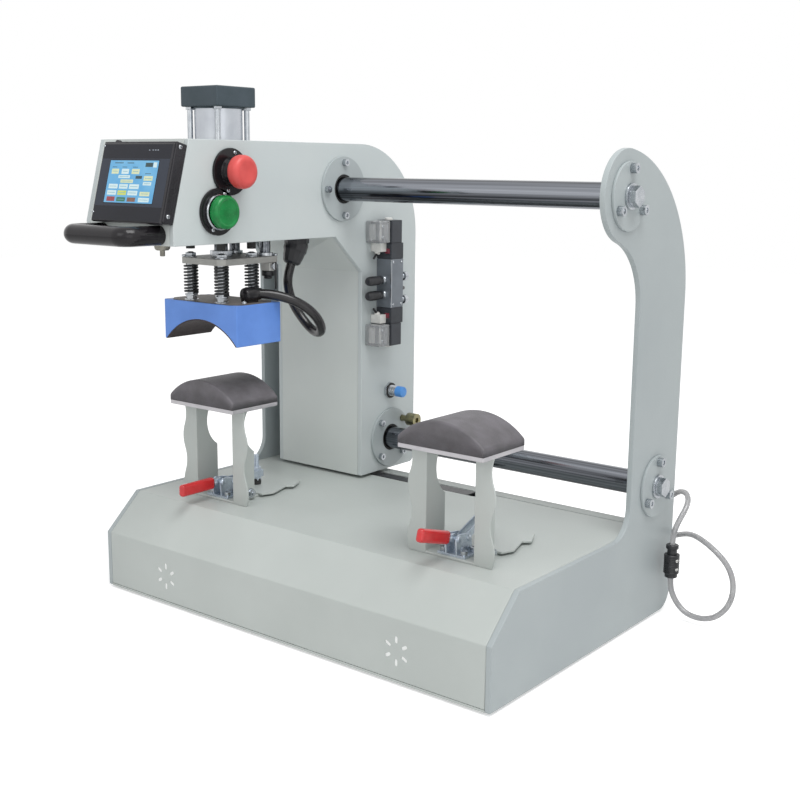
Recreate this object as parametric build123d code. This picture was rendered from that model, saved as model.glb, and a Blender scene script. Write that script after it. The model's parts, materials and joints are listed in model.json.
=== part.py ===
"""Two-station cap heat press: a C-shaped head slides along two chromed shafts between two cap stands.

Frame: millimetres, +X to the right, +Y to the back, +Z up. The origin is on the floor, under the
middle of the machine. Depths are given back from the base front, heights up from the base underside.
"""
from build123d import *
import math
import os

os.makedirs("parts", exist_ok=True)

# ------------------------------------------------------------------ base
base_length = 700.0            # over the outer faces of the side plates
side_depth = 467.0             # side plates, front to back
side_thickness = 8.0
casing_depth = 412.0           # sheet casing, front to rear wall
rear_ledge = 24.0              # depth of the ledge on the rear cover
ledge_gap = 2.0
front_band = 83.5              # height of the vertical front
base_height = 136.5
slope_run = 57.0               # depth of the sloped front
casing_sheet = 3.0
foot_height = 4.0
foot_diameter = 36.0
foot_inset = 46.0
heel_radius = 28.0             # lower rear corner of a side plate
upright_front = 332.0          # front edge of the upright, back from the base front
step_radius = 40.0             # where the upright meets the base top
crown_radius = 200.0           # upper rear curve of a side plate
lobe_radius = 60.0             # round nose about the upper shaft
throat_radius = 90.0           # curve under the nose
handle_reach = 117.0           # grab handle, forward of the base front

# ------------------------------------------------------------------ vents in the front
vent_spread = 427.5            # between the two vent rings
vent_shift = -5.0              # the pair stands a little left of the middle
vent_height = 41.0
vent_ring = 15.0               # ring radius, to the middle of a slot
vent_slot_width = 4.5
vent_slot_length = 9.5
vent_slots = 6

# ------------------------------------------------------------------ shafts and their ends
shaft_diameter = 35.0
shaft_fit = 0.05               # radial clearance of a seat or a running fit
upper_shaft_back = 284.0
upper_shaft_height = 595.0
lower_shaft_back = 402.0
lower_shaft_height = 194.0
end_flange_diameter = 88.0
end_flange_thickness = 4.0
end_screw_circle = 70.0
end_screw_count = 3
end_washer_diameter = 34.0
end_washer_thickness = 3.0
end_bolt_diameter = 16.0
end_bolt_across = 24.0
end_bolt_head = 10.0
end_bolt_depth = 26.0
m8_diameter = 8.0
m8_head_diameter = 13.0
m8_head_height = 8.0
m8_socket = 6.0
m6_diameter = 6.0
m6_head_diameter = 10.0
m6_head_height = 6.0
m6_socket = 5.0
hole_clearance = 0.2           # radial, round a screw

# ------------------------------------------------------------------ stations
station_pitch = 433.0
station_back = 119.0           # press axis, back from the base front
pad_width = 132.0
pad_depth = 92.0
pad_plate_thickness = 6.0
pad_plate_top = 284.5
pad_edge = 10.0                # straight edge of the pad
pad_crest = 321.0
pad_round = 3.0                # fillet along its front and rear
stand_sheet = 3.0
stand_inner_width = 76.0       # between the two legs
stand_flange = 24.0            # each leg's front flange
stand_front = 98.0
stand_leg_depth = 42.0
stand_floor_depth = 92.0
stand_notch_radius = 45.0      # round cut in the back of a leg
stand_notch_back = 165.0
stand_notch_height = 247.0
stand_wave = 3.5               # swing of the wavy flange edge
stand_wave_count = 4
tongue_front = 150.0
tongue_length = 94.0
tongue_sheet = 3.0
tongue_root_width = 92.0
tongue_wide = 106.0
tongue_waist = 82.0
tongue_barb = 100.0
tongue_end = 74.0

# ------------------------------------------------------------------ toggle clamps
clamp_ear_gap = 14.0
clamp_ear_thickness = 2.5
clamp_foot_width = 44.0
clamp_foot_depth = 34.0
clamp_foot_back = 102.0
clamp_foot_thickness = 3.0
clamp_pin_diameter = 6.0
clamp_pin_head = 1.5
lever_pivot_back = 106.0
lever_pivot_height = 163.0
arm_pivot_back = 128.0
arm_pivot_height = 160.0
lever_thickness = 4.0
lever_height = 9.0
lever_length = 60.0
grip_length = 64.0
grip_height = 18.0
grip_width = 11.0
grip_start = 6.0               # from the lever pivot to the grip's near end
arm_bar_height = 11.0
arm_bar_thickness = 2.5
arm_bar_gap = 8.4
arm_reach = 57.0               # arm pivot to the spindle
arm_overhang = 9.0
spindle_diameter = 8.0
spindle_top = 190.0
spindle_tip_diameter = 14.0
spindle_tip_length = 12.0
spindle_nut_across = 13.0
spindle_nut_height = 5.0
left_lever_lift = 0.0          # degrees that the clamp stands open at rest
right_lever_lift = 16.0
arm_ratio = 1.4                # degrees of arm for a degree of lever

# ------------------------------------------------------------------ sliding head
head_width = 180.0
head_plate = 8.0
head_sheet = 3.0
head_bottom = 141.5
head_top = 662.0
arm_underside = 524.0
column_front = 330.0
head_back = 466.0
throat_back = 269.0            # where the chamfer under the arm starts
throat_height = 468.0
arm_front = -48.5
arm_front_knee = 552.0
arm_front_top = -18.5
head_crown = 138.0
head_heel = 10.0
floor_plate_thickness = 12.0   # carries the cylinder inside the arm
floor_plate_front = 24.0
floor_plate_depth = 212.0
rod_window = 130.0             # opening in the arm underside
rod_window_shift = 14.0

# ------------------------------------------------------------------ linear bearings
bearing_diameter = 60.0
bearing_length = 76.0
bearing_flange_diameter = 96.0
bearing_flange_thickness = 4.0
bearing_screw_circle = 78.0
bearing_screw_count = 4
bearing_seal_diameter = 43.0
bearing_seal_depth = 3.0

# ------------------------------------------------------------------ cylinder
cylinder_square = 75.0
cylinder_cap_height = 28.0
cylinder_top = 737.0
barrel_diameter = 68.0
barrel_bore = 63.0
tie_rod_diameter = 8.0
tie_rod_pitch = 56.5
piston_thickness = 24.0
piston_fit = 0.1
piston_drop = 4.0              # piston below the top cap at rest
rod_diameter = 20.0

# ------------------------------------------------------------------ press unit
plate_bottom = 488.5
plate_thickness = 9.5
plate_width = 90.0
plate_front = 43.0             # forward of the press axis
plate_rear = 79.0
plate_chamfer = 9.0
guide_rod_diameter = 16.0
guide_rod_shift = 58.0         # behind the press axis
guide_rod_top = 640.0
guide_bush_diameter = 22.0
guide_bush_flange = 34.0
guide_bush_collar = 24.0       # visible collar under the arm
guide_bush_flange_thickness = 6.0
spring_pitch_x = 64.0
spring_pitch_y = 60.0
spring_rod_diameter = 12.0
spring_rod_fit = 0.3
spring_outer = 22.0
spring_wire = 3.0
spring_turns = 9
collar_height = 10.0
nut_across = 18.0
nut_height = 8.0
float_travel = 3.0
bumper_top_diameter = 31.0
bumper_neck_diameter = 13.0
bumper_gap = 3.7               # spring rod end to bumper at rest
block_width = 152.0
block_depth = 88.0
block_top = 434.5
block_bottom = 376.0
lining_crest = 408.0           # underside of the lining, at its middle
lining_thickness = 2.0
press_gap = 0.5                # lining to pad with the press closed
lining_inset = 1.0
terminal_width = 14.0
terminal_height = 20.0
terminal_depth = 14.0
terminal_right = 53.5
terminal_front = 6.0           # its rear face, forward of the press axis

# ------------------------------------------------------------------ things on the head
panel_width = 146.0
panel_height = 106.5
panel_drop = 1.0               # its foot below the arm knee, along the slope
panel_depth = 18.0
panel_right_inset = 0.0
screen_width = 142.0
screen_height = 107.0
screen_drop = 4.0              # its foot below the arm knee, along the slope
screen_thickness = 2.5
panel_knob_diameter = 9.0
panel_knob_height = 4.0
handle_tube = 26.0
handle_height = 537.5
handle_bend = 14.0
handle_width = 142.0
handle_inset = 15.0            # from the head's right face
knob_back = 9.0
knob_diameter = 24.0
knob_height = 12.0
knob_stem_diameter = 7.0
knob_stem_length = 8.0
button_disc_diameter = 63.0
button_disc_thickness = 4.0
button_barrel_diameter = 22.0
button_bore_diameter = 15.0
button_block_size = 30.0
button_block_length = 34.0
button_barrel_length = 16.0
stem_fit = 0.3
estop_head_diameter = 45.0
estop_head_start = 16.0
estop_head_length = 19.0
estop_travel = 4.0
start_back = 28.0
start_rise = 43.0              # above the arm underside
button_pitch = 53.0            # from the start button up to the stop button
button_shift = 24.5            # and back
start_head_diameter = 45.0
start_head_start = 10.0
start_head_length = 13.0
start_travel = 3.0
valve_back = 366.0
valve_low = 411.0
valve_width = 30.0
valve_thickness = 30.0
valve_body_height = 76.0
solenoid_height = 25.0
coil_height = 35.0
coil_width = 26.0
connector_width = 28.0
connector_thickness = 28.0
connector_base_height = 14.0
silencer_diameter = 14.0
silencer_length = 34.0
silencer_low = 17.0            # above the foot of the valve body
silencer_pitch = 23.0
fitting_diameter = 13.0
fitting_length = 11.0
fitting_low = 9.0              # above the foot of the valve body
fitting_pitch = 18.5
fitting_count = 3
sensor_back = 399.5
sensor_height = 272.0
sensor_diameter = 18.0
sensor_reach = 31.0
sensor_tip = 12.0
sensor_nut_across = 24.0
sensor_nut_thickness = 4.0
sensor_inside = 30.0
buffer_neck_diameter = 10.0
buffer_head_diameter = 21.0
buffer_head_length = 17.0
buffer_inside = 14.0
buffer_socket = 8.0
stop_gap = 0.5                 # buffer to side plate at the end of the travel
gland_right = 44.0             # of the press axis
gland_back = 232.5
gland_nut_diameter = 38.0
gland_nut_height = 10.0
gland_diameter = 34.0
gland_taper = 9.0              # degrees, towards the mouth
gland_drop = 40.4              # the mouth's middle below the arm
gland_lean = 10.5              # and forward of the nut
gland_swing = 2.2              # and to the left
heater_lead_diameter = 14.0

# ------------------------------------------------------------------ rear of the base
chain_width = 22.0
chain_link_height = 14.0
chain_pitch = 20.0
chain_links = 17
chain_first = -282.0
chain_gap = 0.3
trough_sheet = 2.0
trough_width = 25.0
inlet_width = 48.0
inlet_height = 30.0
inlet_flange = 3.0
inlet_body_depth = 24.0
inlet_socket_width = 25.0
inlet_socket_height = 17.0
inlet_socket_depth = 16.0
inlet_right = -250.0
inlet_up = 60.0
tube_diameter = 8.0
port_diameter = 18.0
port_length = 12.0
port_inside = 16.0
port_thread = 13.0
upper_port_right = 296.0
upper_port_height = 110.0
lower_port_right = 312.0
lower_port_height = 90.0
slide_valve_diameter = 22.0
slide_valve_core = 14.0
slide_valve_length = 48.0
slide_travel = 8.0
slide_fit = 0.15

# ------------------------------------------------------------------ places worked out
base_front = (handle_reach - side_depth) / 2
half_length = base_length / 2
inner_face = half_length - side_thickness
casing_top_depth = casing_depth - rear_ledge
press_x = -station_pitch / 2
head_right = press_x + head_width / 2
head_left = press_x - head_width / 2
travel = station_pitch
side_gap = inner_face - head_right - travel


def back(depth):
    """Y of a depth back from the base front."""
    return base_front + depth


def up(height):
    """Z of a height above the base underside."""
    return foot_height + height


press_y = back(station_back)
base_top = up(base_height)
shaft_places = [(back(upper_shaft_back), up(upper_shaft_height)),
    (back(lower_shaft_back), up(lower_shaft_height))]
station_places = [press_x, press_x + station_pitch]


def block(x0, x1, y0, y1, z0, z1):
    """Box between two corners."""
    return Pos((x0 + x1) / 2, (y0 + y1) / 2, (z0 + z1) / 2) * Box(x1 - x0, y1 - y0, z1 - z0)


def post(x, y, z0, z1, diameter):
    """Upright cylinder from z0 to z1."""
    return Pos(x, y, (z0 + z1) / 2) * Cylinder(diameter / 2, z1 - z0)


def bar_x(x0, x1, y, z, diameter):
    """Cylinder along X from x0 to x1."""
    return Pos((x0 + x1) / 2, y, z) * Rot(0, 90, 0) * Cylinder(diameter / 2, abs(x1 - x0))


def bar_y(x, y0, y1, z, diameter):
    """Cylinder along Y from y0 to y1."""
    return Pos(x, (y0 + y1) / 2, z) * Rot(90, 0, 0) * Cylinder(diameter / 2, abs(y1 - y0))


def hexagon_prism(across, height):
    """Upright hexagonal prism standing on z = 0, across its flats."""
    return extrude(RegularPolygon(across / 2, 6, major_radius=False), height)


def facing_x(shape, x, y, z, side):
    """Turn a shape that stands on z = 0 so that it points along +X or -X, and move it."""
    return Pos(x, y, z) * Rot(0, 90 * side, 0) * shape


def socket_screw(diameter, head_diameter, head_height, socket, length):
    """Cap screw with its head standing on z = 0 and its shank below."""
    head = Pos(0, 0, head_height / 2) * Cylinder(head_diameter / 2, head_height)
    shank = Pos(0, 0, -length / 2) * Cylinder(diameter / 2, length)
    recess = Pos(0, 0, head_height / 2) * hexagon_prism(socket, head_height)
    return head + shank - recess


def group(shapes):
    """Several separate solids as one node."""
    solids = []
    for shape in shapes:
        solids += shape.solids()
    return Compound(children=solids)


def ring_places(count, circle, first_angle):
    """Offsets of evenly spaced points round a circle."""
    step = 360 / count
    angles = [math.radians(first_angle + step * i) for i in range(count)]
    return [(circle / 2 * math.cos(a), circle / 2 * math.sin(a)) for a in angles]


# ------------------------------------------------------------------ base pieces
def side_outline():
    """Outline of a side plate in the YZ plane."""
    lobe_y, lobe_z = shaft_places[0]
    crown_y = back(side_depth) - crown_radius
    crown_z = lobe_z - math.sqrt((crown_radius - lobe_radius) ** 2 - (lobe_y - crown_y) ** 2)
    throat_y = back(upright_front) - throat_radius
    throat_z = lobe_z - math.sqrt((throat_radius + lobe_radius) ** 2 - (lobe_y - throat_y) ** 2)
    crown_angle = math.degrees(math.atan2(lobe_z - crown_z, lobe_y - crown_y))
    throat_angle = math.degrees(math.atan2(lobe_z - throat_z, lobe_y - throat_y))
    heel = (back(side_depth) - heel_radius, up(0) + heel_radius)
    step = (back(upright_front) - step_radius, base_top + step_radius)
    with BuildSketch(Plane.YZ) as outline:
        with BuildLine():
            Line((back(0), up(0)), (heel[0], up(0)))
            CenterArc(heel, heel_radius, -90, 90)
            Line((back(side_depth), heel[1]), (back(side_depth), crown_z))
            CenterArc((crown_y, crown_z), crown_radius, 0, crown_angle)
            CenterArc((lobe_y, lobe_z), lobe_radius, crown_angle, 180 + throat_angle - crown_angle)
            CenterArc((throat_y, throat_z), throat_radius, throat_angle, -throat_angle)
            Line((back(upright_front), throat_z), (back(upright_front), step[1]))
            CenterArc(step, step_radius, 0, -90)
            Polyline((step[0], base_top), (back(slope_run), base_top),
                (back(0), up(front_band)), (back(0), up(0)))
        make_face()
    return outline.sketch


def end_screw_places():
    """Centres of the screws round both shaft ends."""
    places = []
    for y, z in shaft_places:
        places += [(y + dy, z + dz) for dy, dz in ring_places(end_screw_count, end_screw_circle,
            90)]
    return places


def side_plate(side):
    """Side plate at the right (1) or left (-1) end."""
    outer = side * half_length
    plate = Pos(min(outer, outer - side * side_thickness), 0, 0) * extrude(side_outline(),
        side_thickness)
    for y, z in shaft_places:
        plate -= bar_x(outer - side * side_thickness, outer, y, z, shaft_diameter + 2 * shaft_fit)
    for y, z in end_screw_places():
        plate -= bar_x(outer - side * side_thickness, outer, y, z, m8_diameter + 2 * hole_clearance)
    return plate


def casing_profile():
    """Closed outline of the casing in the YZ plane, front, slope, top and rear."""
    with BuildSketch(Plane.YZ) as outline:
        with BuildLine():
            Polyline(
                (back(0), up(0)), (back(0), up(front_band)), (back(slope_run), base_top),
                (back(casing_top_depth), base_top), (back(casing_top_depth), up(0)), close=True)
        make_face()
    return outline.sketch


def trough_front():
    """Y of the front edge of the chain slot."""
    return back(casing_top_depth) - trough_width


def chain_span():
    """X of both ends of the chain slot."""
    return chain_first - chain_pitch / 2, chain_first + chain_pitch * (chain_links + 1)


def vent_cutters():
    """Six slots round each of the two vents, cut through the front sheet."""
    cutters = []
    step = 360 / vent_slots
    for side in (-1, 1):
        for i in range(vent_slots):
            slot = extrude(SlotOverall(vent_slot_length, vent_slot_width), 2 * casing_sheet,
                both=True)
            spoke = Rot(0, 0, step * (i + 0.5)) * Pos(vent_ring, 0, 0) * slot
            middle = vent_shift + side * vent_spread / 2
            cutters.append(Pos(middle, back(0), up(vent_height)) * Rot(90, 0, 0) * spoke)
    return cutters


def casing():
    """Bent sheet: front band, slope and top, open below and behind."""
    outline = casing_profile()
    shell = outline - offset(outline, amount=-casing_sheet, kind=Kind.INTERSECTION)
    body = Pos(-inner_face, 0, 0) * extrude(shell, 2 * inner_face)
    low = up(casing_sheet)
    body -= block(-half_length, half_length, back(0) - casing_sheet, back(side_depth), 0, low)
    rear = back(casing_top_depth) - casing_sheet
    body -= block(-half_length, half_length, rear, back(side_depth), 0, base_top - casing_sheet)
    first, last = chain_span()
    body -= block(first, last, trough_front(), back(casing_top_depth), base_top - casing_sheet,
        base_top)
    for cutter in vent_cutters():
        body -= cutter
    return body + chain_trough()


def base_floor():
    """Flat sheet that closes the base from below."""
    return block(-inner_face, inner_face, back(0), back(casing_depth), up(0), up(casing_sheet))


def port_places():
    """Ports of the air tube on the rear wall, the upper and the lower."""
    wall = back(casing_depth)
    upper = (upper_port_right, wall, up(upper_port_height))
    return upper, (lower_port_right, wall, up(lower_port_height))


def rear_cover():
    """Rear wall with the ledge along its top."""
    wall = block(-inner_face, inner_face, back(casing_depth) - casing_sheet, back(casing_depth),
        up(casing_sheet), base_top)
    ledge_front = back(casing_top_depth) + ledge_gap
    wall += block(-inner_face, inner_face, ledge_front, back(casing_depth),
        base_top - casing_sheet, base_top)
    inlet_y = back(casing_depth)
    opening_width = inlet_width - 4 * inlet_flange
    opening_height = inlet_height - 2 * inlet_flange
    wall -= Pos(inlet_right, inlet_y, up(inlet_up)) * Box(opening_width, 4 * casing_sheet,
        opening_height)
    for x, y, z in port_places():
        wall -= bar_y(x, y - casing_sheet, y, z, port_thread + 2 * hole_clearance)
    return wall


def chain_trough():
    """Channel under the slot in the top that carries the cable chain."""
    first, last = chain_span()
    floor = base_top - chain_link_height - chain_gap
    low = floor - trough_sheet
    front = trough_front()
    end = back(casing_top_depth)
    top = base_top - casing_sheet
    channel = block(first - trough_sheet, last + trough_sheet, front - trough_sheet, end, low, top)
    channel -= block(first, last, front, end - trough_sheet, floor, top)
    return channel


def cable_chain():
    """Open links of the cable chain, lying in their trough."""
    links = []
    mid = trough_front() + (trough_width - trough_sheet) / 2
    top = base_top - chain_gap
    wall = chain_link_height / 7
    for i in range(chain_links):
        x = chain_first + chain_pitch * i
        link = block(x, x + chain_pitch - chain_gap, mid - chain_width / 2,
            mid + chain_width / 2, top - chain_link_height, top)
        inner = chain_width / 2 - wall
        link -= block(x, x + chain_pitch, mid - inner, mid + inner,
            top - chain_link_height + wall, top - wall)
        links.append(link)
    return group(links)


def rubber_feet():
    """Four round feet under the floor sheet."""
    feet = []
    for x in (-half_length + foot_inset, half_length - foot_inset):
        for y in (back(foot_inset), back(casing_depth - foot_inset)):
            feet.append(post(x, y, 0, foot_height, foot_diameter))
    return group(feet)


def shaft(y, z):
    """Guide shaft with a threaded hole in each end."""
    rod = bar_x(-half_length, half_length, y, z, shaft_diameter)
    for side in (-1, 1):
        end = side * half_length
        rod -= bar_x(end, end - side * end_bolt_depth, y, z, end_bolt_diameter + 2 * shaft_fit)
    return rod


def shaft_end_flanges():
    """Disc on the outer face of a side plate at each shaft end."""
    discs = []
    for side in (-1, 1):
        outer = side * half_length
        face = outer + side * end_flange_thickness
        for y, z in shaft_places:
            disc = bar_x(outer, face, y, z, end_flange_diameter)
            disc -= bar_x(outer, face, y, z, end_bolt_diameter + 2 * hole_clearance)
            for dy, dz in ring_places(end_screw_count, end_screw_circle, 90):
                disc -= bar_x(outer, face, y + dy, z + dz, m8_diameter + 2 * hole_clearance)
            discs.append(disc)
    return group(discs)


def shaft_end_bolts():
    """Hexagon bolt and washer that hold each shaft end."""
    pieces = []
    for side in (-1, 1):
        face = side * (half_length + end_flange_thickness)
        seat = face + side * end_washer_thickness
        for y, z in shaft_places:
            washer = bar_x(face, seat, y, z, end_washer_diameter)
            washer -= bar_x(face, seat, y, z, end_bolt_diameter + 2 * hole_clearance)
            head = facing_x(hexagon_prism(end_bolt_across, end_bolt_head), seat, y, z, side)
            shank = bar_x(seat, side * (half_length - end_bolt_depth + end_flange_thickness), y,
                z, end_bolt_diameter)
            pieces += [washer, head + shank]
    return group(pieces)


def flange_screws():
    """Cap screws round the shaft ends."""
    screws = []
    length = end_flange_thickness + side_thickness
    for side in (-1, 1):
        face = side * (half_length + end_flange_thickness)
        for y, z in end_screw_places():
            screw = socket_screw(m8_diameter, m8_head_diameter, m8_head_height, m8_socket, length)
            screws.append(facing_x(screw, face, y, z, side))
    return group(screws)


def power_inlet():
    """Three-pin inlet in the rear wall."""
    wall = back(casing_depth)
    inside = wall - casing_sheet
    flange = block(-inlet_width / 2, inlet_width / 2, wall, wall + inlet_flange,
        -inlet_height / 2, inlet_height / 2)
    half_width = inlet_width / 2 - 2 * inlet_flange - hole_clearance
    half_height = inlet_height / 2 - inlet_flange - hole_clearance
    body = block(-half_width, half_width, inside - inlet_body_depth + casing_sheet, wall,
        -half_height, half_height)
    body += flange
    mouth = wall + inlet_flange
    half_socket = inlet_socket_width / 2
    body -= block(-half_socket, half_socket, mouth - inlet_socket_depth, mouth,
        -inlet_socket_height / 2, inlet_socket_height / 2)
    return Pos(inlet_right, 0, up(inlet_up)) * body


def air_ports():
    """Two bulkhead ports for the air tube."""
    ports = []
    for x, y, z in port_places():
        ports.append(bar_y(x, y, y + port_length, z, port_diameter) + bar_y(x, y - port_inside,
            y, z, port_thread))
    return group(ports)


# ------------------------------------------------------------------ cap stations
def wavy_edge(x, direction, low, high):
    """Points and arcs of a flange's wavy outer edge, from low to high, in the XZ plane."""
    step = (high - low) / stand_wave_count
    arcs = []
    for i in range(stand_wave_count):
        z = low + step * i
        swing = direction * stand_wave * (1 if i % 2 == 0 else -1)
        arcs.append(ThreePointArc((x, z), (x + swing, z + step / 2), (x, z + step)))
    return arcs


def stand_flange_sheet(side):
    """Front flange of a leg, right (1) or left (-1), with its wavy edge."""
    low = base_top
    high = up(pad_plate_top) - pad_plate_thickness
    root = side * stand_inner_width / 2
    edge = side * (stand_inner_width / 2 + stand_sheet + stand_flange)
    with BuildSketch(Plane.XZ) as outline:
        with BuildLine():
            for arc in wavy_edge(edge, side, low, high):
                add(arc)
            Polyline((edge, high), (root, high), (root, low), (edge, low))
        make_face()
    return extrude(outline.sketch, -stand_sheet)


def cap_stand(x):
    """Bent stand: floor, two legs with wavy flanges, and a top web under the pad."""
    low = base_top
    high = up(pad_plate_top) - pad_plate_thickness
    half = stand_inner_width / 2
    front = back(stand_front)
    rear = front + stand_leg_depth
    body = block(-half, half, front, front + stand_floor_depth, low, low + stand_sheet)
    body += block(-half, half, front, rear - stand_sheet, high - stand_sheet, high)
    for side in (-1, 1):
        outer = side * (half + stand_sheet)
        leg = block(min(side * half, outer), max(side * half, outer), front, rear, low, high)
        leg -= bar_x(side * half, outer, back(stand_notch_back), up(stand_notch_height),
            2 * stand_notch_radius)
        flange = Pos(0, front, 0) * stand_flange_sheet(side)
        body += leg + flange
    for dx, dy in clamp_screw_offsets():
        body -= post(dx, back(clamp_foot_back) + dy, low, low + stand_sheet,
            m6_diameter + 2 * hole_clearance)
    return Pos(x, 0, 0) * body


def clamp_screw_offsets():
    """Places of the four clamp screws from the clamp foot's front middle."""
    inset = m6_diameter
    half = clamp_foot_width / 2 - inset
    return [(dx, dy) for dx in (-half, half) for dy in (inset, clamp_foot_depth - inset)]


def tongue_plate(x):
    """Waisted plate behind the stand that the clamp spindle presses on."""
    low = base_top + stand_sheet
    start = back(tongue_front)
    fifth = tongue_length / 5
    halves = [
        (tongue_root_width / 2, 0), (tongue_wide / 2, fifth), (tongue_waist / 2, 3 * fifth),
        (tongue_barb / 2, 3.5 * fifth), (tongue_end / 2, 5 * fifth)]
    right = [(w, start + d) for w, d in halves]
    left = [(-w, y) for w, y in reversed(right)]
    sheet = extrude(make_face(Polyline(*right, *left, close=True)), tongue_sheet)
    return Pos(x, 0, low) * sheet


def pad_plate(x):
    """Plate that carries the pad."""
    top = up(pad_plate_top)
    plate = block(-pad_width / 2, pad_width / 2, press_y - pad_depth / 2,
        press_y + pad_depth / 2, top - pad_plate_thickness, top)
    return Pos(x, 0, 0) * plate


def pad(x):
    """Domed silicone pad, curved across X."""
    low = up(pad_plate_top)
    edge = low + pad_edge
    half = pad_width / 2
    with BuildSketch(Plane.XZ) as outline:
        with BuildLine():
            Polyline((-half, edge), (-half, low), (half, low), (half, edge))
            ThreePointArc((half, edge), (0, up(pad_crest)), (-half, edge))
        make_face()
    dome = extrude(outline.sketch, -pad_depth)
    dome = fillet(dome.edges().filter_by(GeomType.CIRCLE), pad_round)
    return Pos(x, press_y - pad_depth / 2, 0) * dome


def clamp_ear(side):
    """Upright ear of a clamp base."""
    low = base_top + stand_sheet + clamp_foot_thickness
    lever_y = back(lever_pivot_back)
    arm_y = back(arm_pivot_back)
    lever_z = up(lever_pivot_height)
    arm_z = up(arm_pivot_height)
    rim = clamp_pin_diameter
    ear = make_face(Polyline(
        (back(clamp_foot_back), low), (lever_y - rim, lever_z), (lever_y, lever_z + rim),
        (arm_y, arm_z + rim), (arm_y + rim, arm_z), (back(clamp_foot_back) + clamp_foot_depth,
            low), close=True))
    sheet = Plane.YZ * ear
    near = clamp_ear_gap / 2 if side > 0 else -clamp_ear_gap / 2 - clamp_ear_thickness
    return Pos(near, 0, 0) * extrude(sheet, clamp_ear_thickness)


def clamp_pin(y, z):
    """Riveted pin through both ears."""
    half = clamp_ear_gap / 2 + clamp_ear_thickness + clamp_pin_head
    return bar_x(-half, half, y, z, clamp_pin_diameter)


def clamp_base(x):
    """Foot with two ears and two pivot pins."""
    low = base_top + stand_sheet
    front = back(clamp_foot_back)
    foot = block(-clamp_foot_width / 2, clamp_foot_width / 2, front, front + clamp_foot_depth,
        low, low + clamp_foot_thickness)
    for dx, dy in clamp_screw_offsets():
        foot -= post(dx, front + dy, low, low + clamp_foot_thickness,
            m6_diameter + 2 * hole_clearance)
    body = foot + clamp_ear(1) + clamp_ear(-1)
    body += clamp_pin(back(lever_pivot_back), up(lever_pivot_height))
    body += clamp_pin(back(arm_pivot_back), up(arm_pivot_height))
    return Pos(x, 0, 0) * body


def clamp_lever(x, lift):
    """Lever with its vinyl grip, lifted from closed by an angle in degrees."""
    y = back(lever_pivot_back)
    z = up(lever_pivot_height)
    half = lever_thickness / 2
    lever = block(-half, half, y - lever_length, y, z - lever_height / 2, z + lever_height / 2)
    lever += bar_x(-half, half, y, z, 2 * clamp_pin_diameter)
    lever -= bar_x(-half, half, y, z, clamp_pin_diameter + 2 * shaft_fit)
    near = y - grip_start - clamp_pin_diameter
    half_width = grip_width / 2
    grip = block(-half_width, half_width, near - grip_length, near, z - grip_height / 2,
        z + grip_height / 2)
    grip = fillet(grip.edges().filter_by(Axis.Y), grip_width / 3)
    grip -= block(-half, half, y - lever_length, near, z - lever_height / 2, z + lever_height / 2)
    pivot = Axis((0, y, z), (1, 0, 0))
    return Pos(x, 0, 0) * group([lever.rotate(pivot, -lift), grip.rotate(pivot, -lift)])


def clamp_arm(x, lift):
    """Two-bar arm with spindle, nuts and rubber tip, lifted from closed by an angle in degrees."""
    y = back(arm_pivot_back)
    z = up(arm_pivot_height)
    end = y + arm_reach + arm_overhang
    half_gap = arm_bar_gap / 2
    outer = half_gap + arm_bar_thickness
    arm = block(-outer, outer, y - clamp_pin_diameter, end, z - arm_bar_height / 2,
        z + arm_bar_height / 2)
    arm -= block(-half_gap, half_gap, y - 2 * clamp_pin_diameter, end - arm_bar_thickness,
        z - arm_bar_height, z + arm_bar_height)
    arm -= bar_x(-outer, outer, y, z, clamp_pin_diameter + 2 * shaft_fit)
    spindle_y = y + arm_reach
    tip_low = base_top + stand_sheet + tongue_sheet + piston_fit
    tip_high = tip_low + spindle_tip_length
    spindle = post(0, spindle_y, tip_high, up(spindle_top), spindle_diameter)
    bar_top = z + arm_bar_height / 2
    bar_low = z - arm_bar_height / 2
    nut = hexagon_prism(spindle_nut_across, spindle_nut_height)
    spindle += Pos(0, spindle_y, bar_top) * nut
    spindle += Pos(0, spindle_y, bar_low - spindle_nut_height) * nut
    tip = post(0, spindle_y, tip_low, tip_high, spindle_tip_diameter)
    pivot = Axis((0, y, z), (1, 0, 0))
    turned = [piece.rotate(pivot, lift) for piece in (arm, spindle, tip)]
    return Pos(x, 0, 0) * group(turned)


def stand_screws():
    """Screws that hold both clamps and both stands."""
    screws = []
    seat = base_top + stand_sheet + clamp_foot_thickness
    for x in station_places:
        for dx, dy in clamp_screw_offsets():
            length = seat - base_top
            screw = socket_screw(m6_diameter, m6_head_diameter, m6_head_height, m6_socket, length)
            screws.append(Pos(x + dx, back(clamp_foot_back) + dy, seat) * screw)
    return group(screws)


# ------------------------------------------------------------------ sliding head
def head_outline():
    """Outline of the C-shaped head in the YZ plane."""
    crown = (back(head_back) - head_crown, up(head_top) - head_crown)
    heel = (back(head_back) - head_heel, up(head_bottom) + head_heel)
    with BuildSketch(Plane.YZ) as outline:
        with BuildLine():
            Polyline(
                (crown[0], up(head_top)), (back(arm_front_top), up(head_top)), (back(arm_front),
                    up(arm_front_knee)),
                (back(arm_front), up(arm_underside)), (back(throat_back), up(arm_underside)),
                (back(column_front), up(throat_height)), (back(column_front),
                    up(head_bottom)), (heel[0], up(head_bottom)))
            CenterArc(heel, head_heel, -90, 90)
            Line((back(head_back), heel[1]), (back(head_back), crown[1]))
            CenterArc(crown, head_crown, 0, 90)
        make_face()
    return outline.sketch


def button_places():
    """Height and depth of the stop and start buttons."""
    y = back(start_back)
    z = up(arm_underside + start_rise)
    return (y + button_shift, z + button_pitch), (y, z)


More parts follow.
